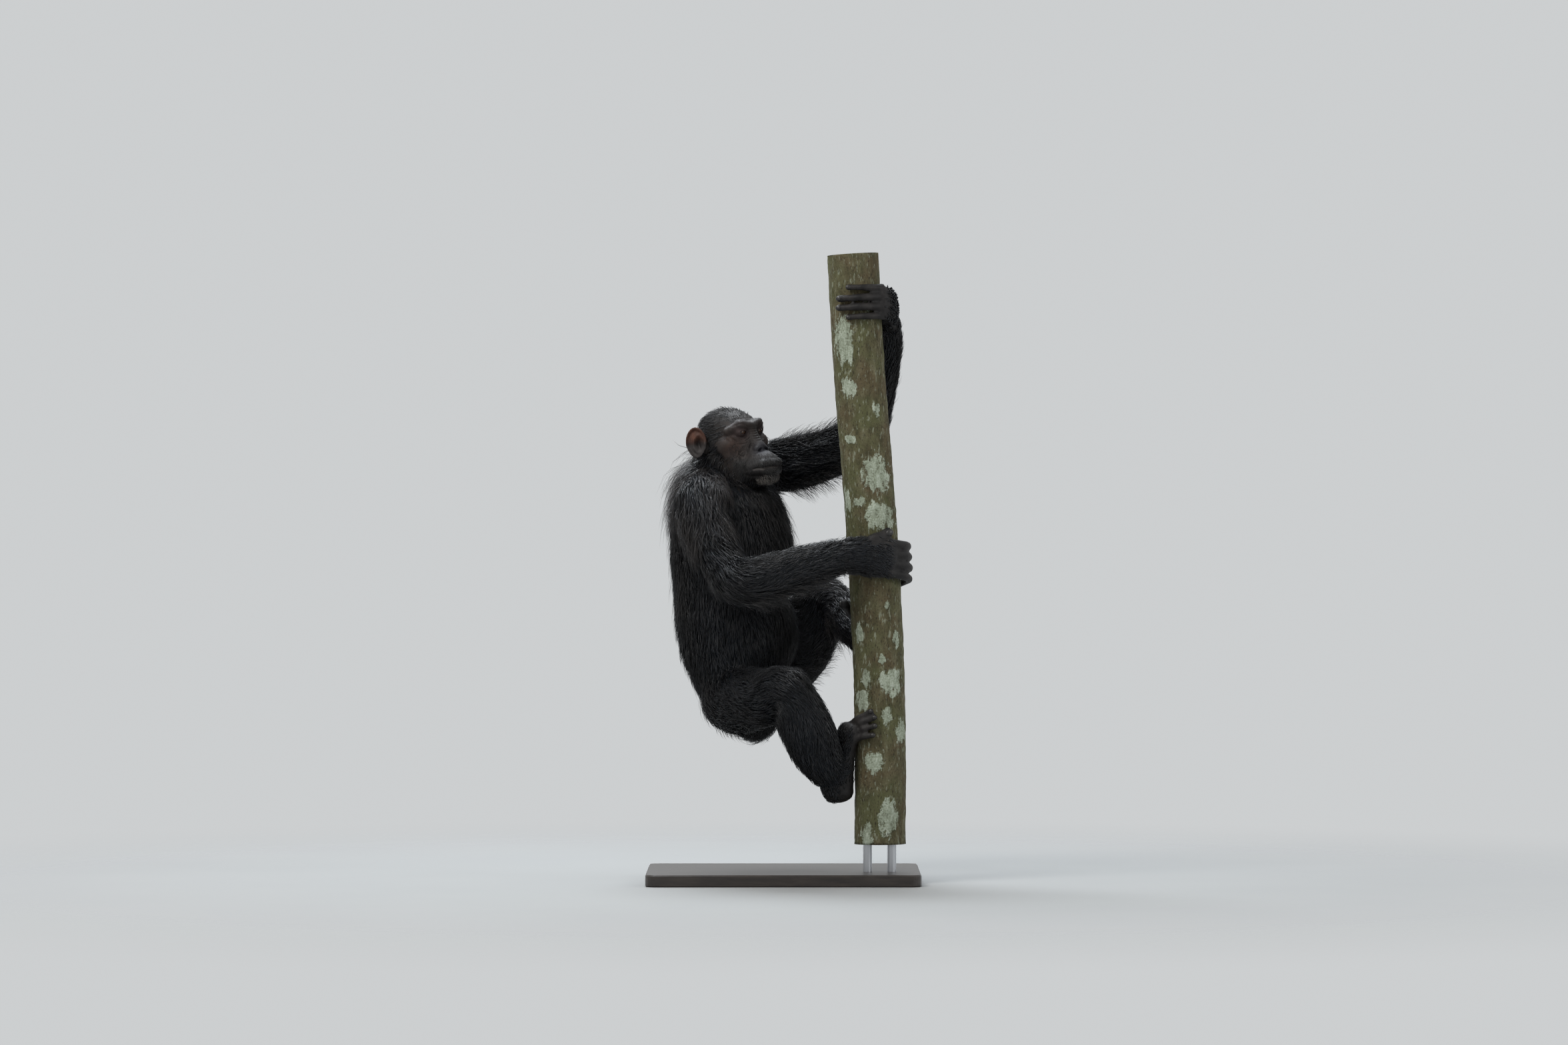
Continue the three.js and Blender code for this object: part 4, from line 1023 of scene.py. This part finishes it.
# Each body's hair: its way along the tube (or a direction), its length at the two ends and the lift of its tips in
# millimetres, the share of the fullest growth, and the piece that it belongs to. The head's comes from headHair.
coat = {
    "torso": (-1, (50, 64), 15, 1.0, "coatTorso"),
    "chest": (-1, (40, 50), 12, 0.8, "coatTorso"),
    "yoke": ((-0.15, 0.0, -1), (74, 70), 22, 1.3, "coatShoulders"),
    "neck": (-1, (74, 54), 22, 1.3, "coatShoulders"),
    "upperArmRight": (1, (72, 58), 17, 1.2, "coatArmRight"),
    "forearmRight": (1, (56, 30), 12, 1.2, "coatArmRight"),
    "handRight": (1, (26, 16), 5, 1.3, "coatArmRight"),
    "upperArmLeft": (1, (66, 54), 17, 1.2, "coatArmLeft"),
    "forearmLeft": (1, (52, 26), 9, 1.2, "coatArmLeft"),
    "handLeft": (1, (22, 12), 4, 1.2, "coatArmLeft"),
    "thighRight": (1, (54, 46), 12, 1.1, "coatLegRight"),
    "lowerLegRight": (1, (44, 28), 9, 1.2, "coatLegRight"),
    "footRight": (1, (18, 12), 4, 1.1, "coatLegRight"),
    "thighLeft": (1, (54, 46), 13, 1.1, "coatLegLeft"),
    "lowerLegLeft": (1, (44, 26), 9, 1.1, "coatLegLeft"),
    "footLeft": (1, (18, 12), 4, 1.1, "coatLegLeft"),
    "head": (0, (26, 26), 6, 1.4, "coatHead"),
}
palms = {"handRight": palmRight, "handLeft": palmLeft, "footRight": soleRight, "footLeft": soleLeft}
tubes.update({name: Tube(stations, awayFromTrunk) for name, stations in palms.items()})
growth = {
    "tufts": 84000, "width": 2.35, "pieceLimit": 12400,
    "samples": 2.6, "fullest": 1.45, "edge": 6, "grid": 5,  # the grid lays the bodies out on the UV map
}
names = list(coat)


def headHair(p):  # the lie, length and fullness of the hair at points in the head's frame
    x, y, z = p.T
    low = smoothStep(10, -50, z)
    lie = np.stack([-1 + 0.45 * low, np.sign(y) * 0.20, -0.30 - 0.9 * low], axis=1)
    crown = smoothStep(66, 10, x) * smoothStep(18, 34, z)
    edge = 52 + 34 * smoothStep(-18, -84, z)
    cheek = smoothStep(edge, edge - 18, x) * smoothStep(40, 24, z) * smoothStep(24, 40, np.abs(y))
    throat = smoothStep(112, 84, x) * smoothStep(-74, -88, z) * 0.8
    rear = smoothStep(-10, -40, x)
    full = np.clip((0.5 + 0.5 * smoothStep(34, -6, x)) * crown + cheek + throat + rear, 0, 1)
    return lie, 17 + 26 * rear + 12 * cheek + 8 * throat, full * coat["head"][3]


tubeShares = np.linspace(0, 1, 25)
tubeTables = {name: (tubeShares, *tube.at(tubeShares)) for name, tube in tubes.items()}


def alongTube(name, points):  # each point's share, place round and distance out, beside the tube's own directions
    t, centre, along, wideAxis, deepAxis, wide, deep = tubeTables[name]
    row = np.argmin(np.linalg.norm(points[:, None] - centre[None], axis=2), axis=1)
    passed, across, through = (
        np.sum((points - centre[row]) * axis[row], axis=1) for axis in (along, wideAxis, deepAxis))
    across, through = across / wide[row], through / deep[row]
    beyond = np.where((row == 0) | (row == len(t) - 1), passed / np.minimum(wide, deep)[row], 0)
    return t[row], across, through, np.sqrt(across**2 + through**2 + beyond**2), along[row]


def coatAt(points):  # what grows at points on the skin: its lie, body and place on the UV map, and its sizes
    count = len(points)
    best, owner, unwrap = np.full(count, -1.0), np.zeros(count, int), np.zeros((count, 2))
    total, lie = np.full(count, 1e-9), np.zeros((count, 3))
    sums = {key: np.zeros(count) for key in ("length", "lift", "full")}
    local = toHead(points)
    for number, (name, (way, ends, lift, full, _)) in enumerate(coat.items()):
        if name == "head":
            away = np.maximum(headDistance(local), 0) + 50 * smoothStep(-30, -80, local[:, 0]) * (local[:, 2] < -20)
            weight = np.exp(-growth["edge"] * away / 40)
            turned, length, full = headHair(local)
            way = turned @ headTurn.T
            around = np.arctan2(local[:, 1], local[:, 0]) / fullTurn + 0.5
            place = np.stack([around, np.clip(local[:, 2] / 240 + 0.45, 0, 1)], axis=1)
        else:
            t, across, through, reach, along = alongTube(name, points)
            weight = np.exp(-growth["edge"] * np.maximum(reach - 1, 0))
            way = along * way if isinstance(way, int) else np.array(way)[None]
            length = ends[0] + (ends[1] - ends[0]) * t
            full = np.full(count, full)
            if name[:4] in ("hand", "foot"):  # hair on the back of the hand and foot alone
                full = full * smoothStep(-0.1, 0.35, through) * smoothStep(1.0, 0.7, t)
                weight = weight * 1.5
            place = np.stack([np.arctan2(through, across) / fullTurn + 0.5, t], axis=1)
        lie += way * weight[:, None]
        for key, value in (("length", length), ("lift", lift), ("full", full)):
            sums[key] += value * weight
        total += weight
        better = weight > best
        best[better], owner[better] = weight[better], number
        cell = np.array([number % growth["grid"], number // growth["grid"]])
        unwrap[better] = (cell + 0.02 + 0.96 * place[better]) / growth["grid"]
    facts = {key: value / total for key, value in sums.items()}
    facts["full"] = np.where(onEar(local), 0.0, facts["full"])
    facts["length"] *= 0.35 + 0.65 * smoothStep(44, 72, fromEar(local))  # short in front of the ear and behind it
    return lie, owner, unwrap, facts


skinTree = BVHTree.FromObject(skin, bpy.context.evaluated_depsgraph_get())


def onSkin(points):  # the nearest places on the skin, and the way out from it
    hits = [skinTree.find_nearest(point)[:2] for point in (points * mm).tolist()]
    return np.array([hit[0] for hit in hits]) / mm, np.array([hit[1] for hit in hits])


def skinSamples(count):  # places all over the skin, as many on each square millimetre, and the way out from it
    mesh = skin.data
    mesh.calc_loop_triangles()
    corners = np.zeros(len(mesh.loop_triangles) * 3, int)
    mesh.loop_triangles.foreach_get("vertices", corners)
    triangles = vertexPlaces(mesh)[corners.reshape(-1, 3)]
    sides = triangles[:, 1:] - triangles[:, :1]
    facing = np.cross(sides[:, 0], sides[:, 1])
    area = lengths(facing)
    chosen = rng.choice(len(area), count, p=area / area.sum())
    a, b = rng.random((2, count, 1))
    a, b = np.where(a + b > 1, 1 - a, a), np.where(a + b > 1, 1 - b, b)
    points = triangles[chosen, 0] + a * sides[chosen, 0] + b * sides[chosen, 1]
    return points, unit(facing[chosen] + 1e-9)


# A tuft has three triangular rings and a tip. Shares of its length, width and lift at each.
tuft = {"shares": (0.0, 0.36, 0.72, 1.0), "widths": (0.75, 1.0, 0.62), "lifts": (0.0, 0.60, 0.92, 1.0), "root": 2.0,
        "corners": ((-1, -0.15), (1, -0.15), (0, 0.6)), "straightest": 0.15, "patch": 0.003}
tuftFaces = [(0, 2, 1)]
for row in (0, 3):
    for corner in range(3):
        a, b = row + corner, row + (corner + 1) % 3
        tuftFaces += [(a, b, b + 3), (a, b + 3, a + 3)]
tuftFaces += [(6, 7, 9), (7, 8, 9), (8, 6, 9)]


def growTufts(name, grown, material):
    place, out, way, length, lift, width, pull = (
        grown[key] for key in ("root", "normal", "lie", "length", "lift", "width", "pull"))
    spots, outs = [place - out * tuft["root"]], [out]
    for row in (1, 2, 3):
        way = unit(way - out * rowDot(way, out))
        step = tuft["shares"][row] - tuft["shares"][row - 1]
        place, out = onSkin(place + way * (length * step)[:, None])
        hang = pull * (length * tuft["shares"][row] ** 2)[:, None]
        spots.append(place + out * (lift * tuft["lifts"][row])[:, None] + hang)
        outs.append(out)
    steps = [unit(end - start) for start, end in zip(spots, spots[1:])]
    turns = [rowDot(first, second)[:, 0] for first, second in zip(steps, steps[1:])]
    kept = np.min(turns, axis=0) > tuft["straightest"]  # tufts that fold over an edge are left out
    spots, outs, width = [spot[kept] for spot in spots], [out[kept] for out in outs], width[kept]
    count = len(width)
    vertices = np.zeros((count, 10, 3))
    for row in range(3):
        along = unit(spots[row + 1] - spots[row])
        across = unit(np.cross(along, outs[row]))
        raised = np.cross(across, along)
        half = (width * tuft["widths"][row] / 2)[:, None]
        for corner, (sideways, upwards) in enumerate(tuft["corners"]):
            vertices[:, row * 3 + corner] = spots[row] + across * half * sideways + raised * half * upwards
    vertices[:, 9] = spots[3]
    faces = (np.array(tuftFaces)[None] + 10 * np.arange(count)[:, None, None]).reshape(-1, 3)
    mesh = bpy.data.meshes.new(name)
    mesh.from_pydata((vertices.reshape(-1, 3) * mm).tolist(), [], faces.tolist())
    mesh.shade_smooth()
    rows = np.array([0, 0, 0, 1, 1, 1, 2, 2, 2, 3]) / 3
    patch = np.stack([np.array([-0.5, 0.5, 0] * 3 + [0]), rows - 0.5], axis=1) * tuft["patch"]
    places = (grown["unwrap"][kept, None] + patch[None]).reshape(-1, 2)
    mesh.uv_layers.new(name="OFBake").uv.foreach_set("vector", places[faces.reshape(-1)].reshape(-1))
    tints = grown["tint"][kept, None] * (0.75 + 0.5 * rows)[None, :, None]  # darker at the root
    addColours(mesh, "tint", tints.reshape(-1, 3))
    mesh.materials.append(material)
    made = addObject(name, mesh)
    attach(made, "root")
    print("stage:", name, count)


def hairFinish():
    shader = Shader("blackHair")
    tint = shader.attribute("tint", 0)
    patches = shader.speckle(shader.place(), 30)
    colour = shader.mix(patches, shader.mix(1.0, tint, (0.6, 0.55, 0.55, 1), "MULTIPLY"), tint)
    return shader.finish({
        "Base Color": colour, "Roughness": shader.ranged(patches, 0, 1, (0.30, 0.48)), "Specular IOR Level": 0.38,
        "Sheen Weight": 0.05, "Sheen Roughness": 0.35, "Sheen Tint": (0.62, 0.78, 1.0, 1)})


hair = hairFinish()


def streaks(unwrap, size):  # smooth random numbers in long streaks that run along the hair
    around, share = (unwrap * growth["grid"] % 1).T
    turn = around * fullTurn
    straight = np.stack([60 * np.cos(turn), 60 * np.sin(turn), 90 * share], axis=1)
    return drift(straight + 37 * np.floor(unwrap * growth["grid"]) @ np.ones((2, 3)), size)


def chosenRows(grown, rows):
    return {key: value[rows] for key, value in grown.items()}


points, normals = skinSamples(int(growth["tufts"] * growth["samples"]))
lie, owner, unwrap, facts = coatAt(points)
bareDigits = smoothStep(32, 14, fromLines(points, [stations[1:] for stations in digits]))
full = facts["full"] * (1 - bareDigits)
order = np.flatnonzero(rng.random(len(points)) < full / growth["fullest"])[: growth["tufts"]]
count = len(order)
sway = drift(points[order], 34)
headOwned = owner[order] == names.index("head")
locks = streaks(unwrap[order], 8)
shade = rng.uniform(0.65, 1.35, (count, 1)) * np.exp(0.25 * sway[:, 1:2] + 0.42 * locks[:, :1])
grown = {
    "root": points[order],
    "normal": normals[order],
    "lie": unit(lie[order]) + 0.26 * sway + 0.10 * locks + rng.normal(0, 0.08, (count, 3)),
    "length": facts["length"][order] * rng.uniform(0.75, 1.15, count),
    "lift": facts["lift"][order] * rng.uniform(0.2, 1.1, count) * np.exp(0.25 * sway[:, 0] + 0.35 * locks[:, 0]),
    "width": growth["width"] * rng.uniform(0.7, 1.25, count) * np.where(headOwned, 0.62, 1),
    # Painted sheen: the body's bluish tint stands for sky sheen on a black coat. The head's lighter, warmer tint is a
    # painted highlight on the lit hair of the crown.
    "tint": np.where(headOwned[:, None], [[0.0115, 0.0104, 0.0100]], [[0.0052, 0.0053, 0.0060]]) * shade,
    "pull": np.tile([0.0, 0.0, -0.04], (count, 1)),
    "unwrap": unwrap[order],
}
for piece in sorted({form[-1] for form in coat.values()}):
    members = [number for number, form in enumerate(coat.values()) if form[-1] == piece]
    rows = np.flatnonzero(np.isin(owner[order], members))
    parts = max(1, math.ceil(len(rows) / growth["pieceLimit"]))
    for part in range(parts):
        growTufts(piece if parts == 1 else f"{piece}{part + 1}", chosenRows(grown, rows[part::parts]), hair)

# Loose hair at the coat's edges. Along each tube: shares from and to, degrees round it from and to, number,
# length, lift, the pull of its weight, and how much paler it is painted, as a painted highlight of backlit hair.
wisps = [
    ("neck", (0.15, 0.95), (185, 345), 700, 88, 36, -0.30, 2.6),
    ("neck", (0.4, 1.0), (195, 300), 460, 82, 54, -0.30, 2.0),
    ("yoke", (0.0, 0.45), (40, 200), 560, 92, 34, -0.25, 2.6),
    ("upperArmRight", (0.0, 0.5), (40, 230), 560, 88, 27, -0.10, 1.8),
    ("upperArmRight", (0.7, 1.0), (0, 360), 200, 60, 18, -0.20, 1.0),
    ("torso", (0.55, 0.95), (190, 330), 420, 74, 20, -0.10, 1.0),
    ("torso", (0.05, 0.55), (150, 350), 360, 60, 16, -0.06, 1.0),
    ("torso", (0.0, 0.12), (0, 360), 180, 52, 14, -0.25, 1.0),
    ("chest", (0.25, 0.95), (30, 150), 420, 72, 22, -0.22, 1.0),
    ("upperArmLeft", (0.05, 0.95), (225, 320), 460, 74, 14, -0.55, 1.0),
    ("upperArmLeft", (0.05, 0.95), (40, 150), 460, 68, 30, 0.02, 2.4),
    ("thighLeft", (0.1, 1.0), (20, 160), 460, 72, 16, -0.60, 1.8),
    ("thighLeft", (0.3, 1.0), (235, 305), 320, 56, 28, 0.0, 1.0),
    ("lowerLegLeft", (0.0, 0.7), (0, 360), 180, 50, 12, -0.45, 1.0),
    ("thighRight", (0.0, 0.6), (180, 330), 260, 60, 14, -0.20, 1.0),
    ("forearmRight", (0.05, 0.9), (0, 360), 320, 52, 14, -0.15, 1.0),
    ("forearmRight", (0.1, 0.75), (-45, 40), 320, 56, 24, -0.30, 1.0),
    ("forearmLeft", (0.05, 0.9), (0, 360), 200, 46, 12, -0.20, 1.0),
]
loose = {"root": [], "length": [], "lift": [], "pull": [], "paintedBacklight": []}
for name, shares, angles, number, length, lift, pull, paintedBacklight in wisps:
    number //= 1
    t, angle = rng.uniform(*shares, number), np.radians(rng.uniform(*angles, number))
    centre, along, wideAxis, deepAxis, wide, deep = tubes[name].at(t)
    ring = wideAxis * (wide * np.cos(angle))[:, None] + deepAxis * (deep * np.sin(angle))[:, None]
    loose["root"].append(centre + ring)
    loose["length"].append(length * rng.uniform(0.6, 1.25, number))
    loose["lift"].append(lift * rng.uniform(0.5, 1.3, number))
    loose["pull"].append(np.tile([0, 0, pull], (number, 1)))
    loose["paintedBacklight"].append(np.full((number, 1), paintedBacklight))
loose = {key: np.concatenate(values) for key, values in loose.items()}
roots, loose["normal"] = onSkin(loose["root"])
lie, _, loose["unwrap"], _ = coatAt(roots)
count = len(roots)
# Painted highlight: each row's paleness lightens its wisps, standing for light shining through backlit hair.
shade = rng.uniform(0.6, 2.0, (count, 1)) * loose.pop("paintedBacklight")
loose["root"] = roots
loose["lie"] = unit(lie) + 0.3 * drift(roots, 40) + rng.normal(0, 0.14, (count, 3))
loose["width"] = rng.uniform(0.8, 1.5, count)
# Painted highlight: a tint paler than the coat's, for the lit and backlit wisps.
loose["tint"] = np.array([[0.010, 0.0088, 0.0082]]) * shade
clearOfEar = np.flatnonzero(fromEar(toHead(roots)) > 62)
growTufts("looseHair", chosenRows(loose, clearOfEar), hair)

# Hairs of the face: number, where they are aimed at from the middle of the head (forwards, to a side and upwards,
# each from and to), their lie, length, lift, width and colour.
faceHairs = {
    "chinHair": (460, (104, 152), (0, 30), (-104, -74), (0.3, 0, -1.0), 10, 4.5, 0.75, (0.20, 0.186, 0.168)),
    "lipHair": (620, (112, 158), (0, 38), (-58, -30), (0.1, 0, -1.0), 5, 2.0, 0.5, (0.050, 0.048, 0.046)),
    "cheekHair": (520, (60, 104), (30, 62), (-86, 2), (-0.7, 0, -1.0), 10, 3.0, 0.6, (0.016, 0.014, 0.013)),
    "foreheadHair": (460, (26, 78), (0, 46), (62, 96), (-1.0, 0, 0.1), 12, 2.6, 0.6, (0.014, 0.0125, 0.0118)),
    "browHair": (90, (70, 96), (2, 52), (42, 64), (-0.8, 0, 0.8), 7, 2.2, 0.45, (0.012, 0.011, 0.0105)),
}
for name, (count, xs, ys, zs, lie, length, lift, width, tint) in faceHairs.items():
    sides = rng.choice([-1, 1], count)
    aims = [rng.uniform(*xs, count), rng.uniform(*ys, count) * sides, rng.uniform(*zs, count)]
    roots, normals = onSkin(fromHead(castThrough(np.stack(aims, axis=1))))
    growTufts(name, {
        "root": roots, "normal": normals,
        "lie": np.array([lie]) @ headTurn.T + rng.normal(0, 0.3, (count, 3)),
        "length": length * rng.uniform(0.5, 1.3, count), "lift": lift * rng.uniform(0.4, 1.4, count),
        "pull": np.tile([0.0, 0.0, -0.05], (count, 1)), "width": width * rng.uniform(0.7, 1.2, count),
        "tint": np.array([tint]) * rng.uniform(0.3, 1.2, (count, 1)), "unwrap": coatAt(roots)[2],
    }, hair)

low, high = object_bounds()
sizes = {"cad": [list(cadLow), list(cadHigh)], "visual": [list(low), list(high)]}
print("stage: sizes", sizes)
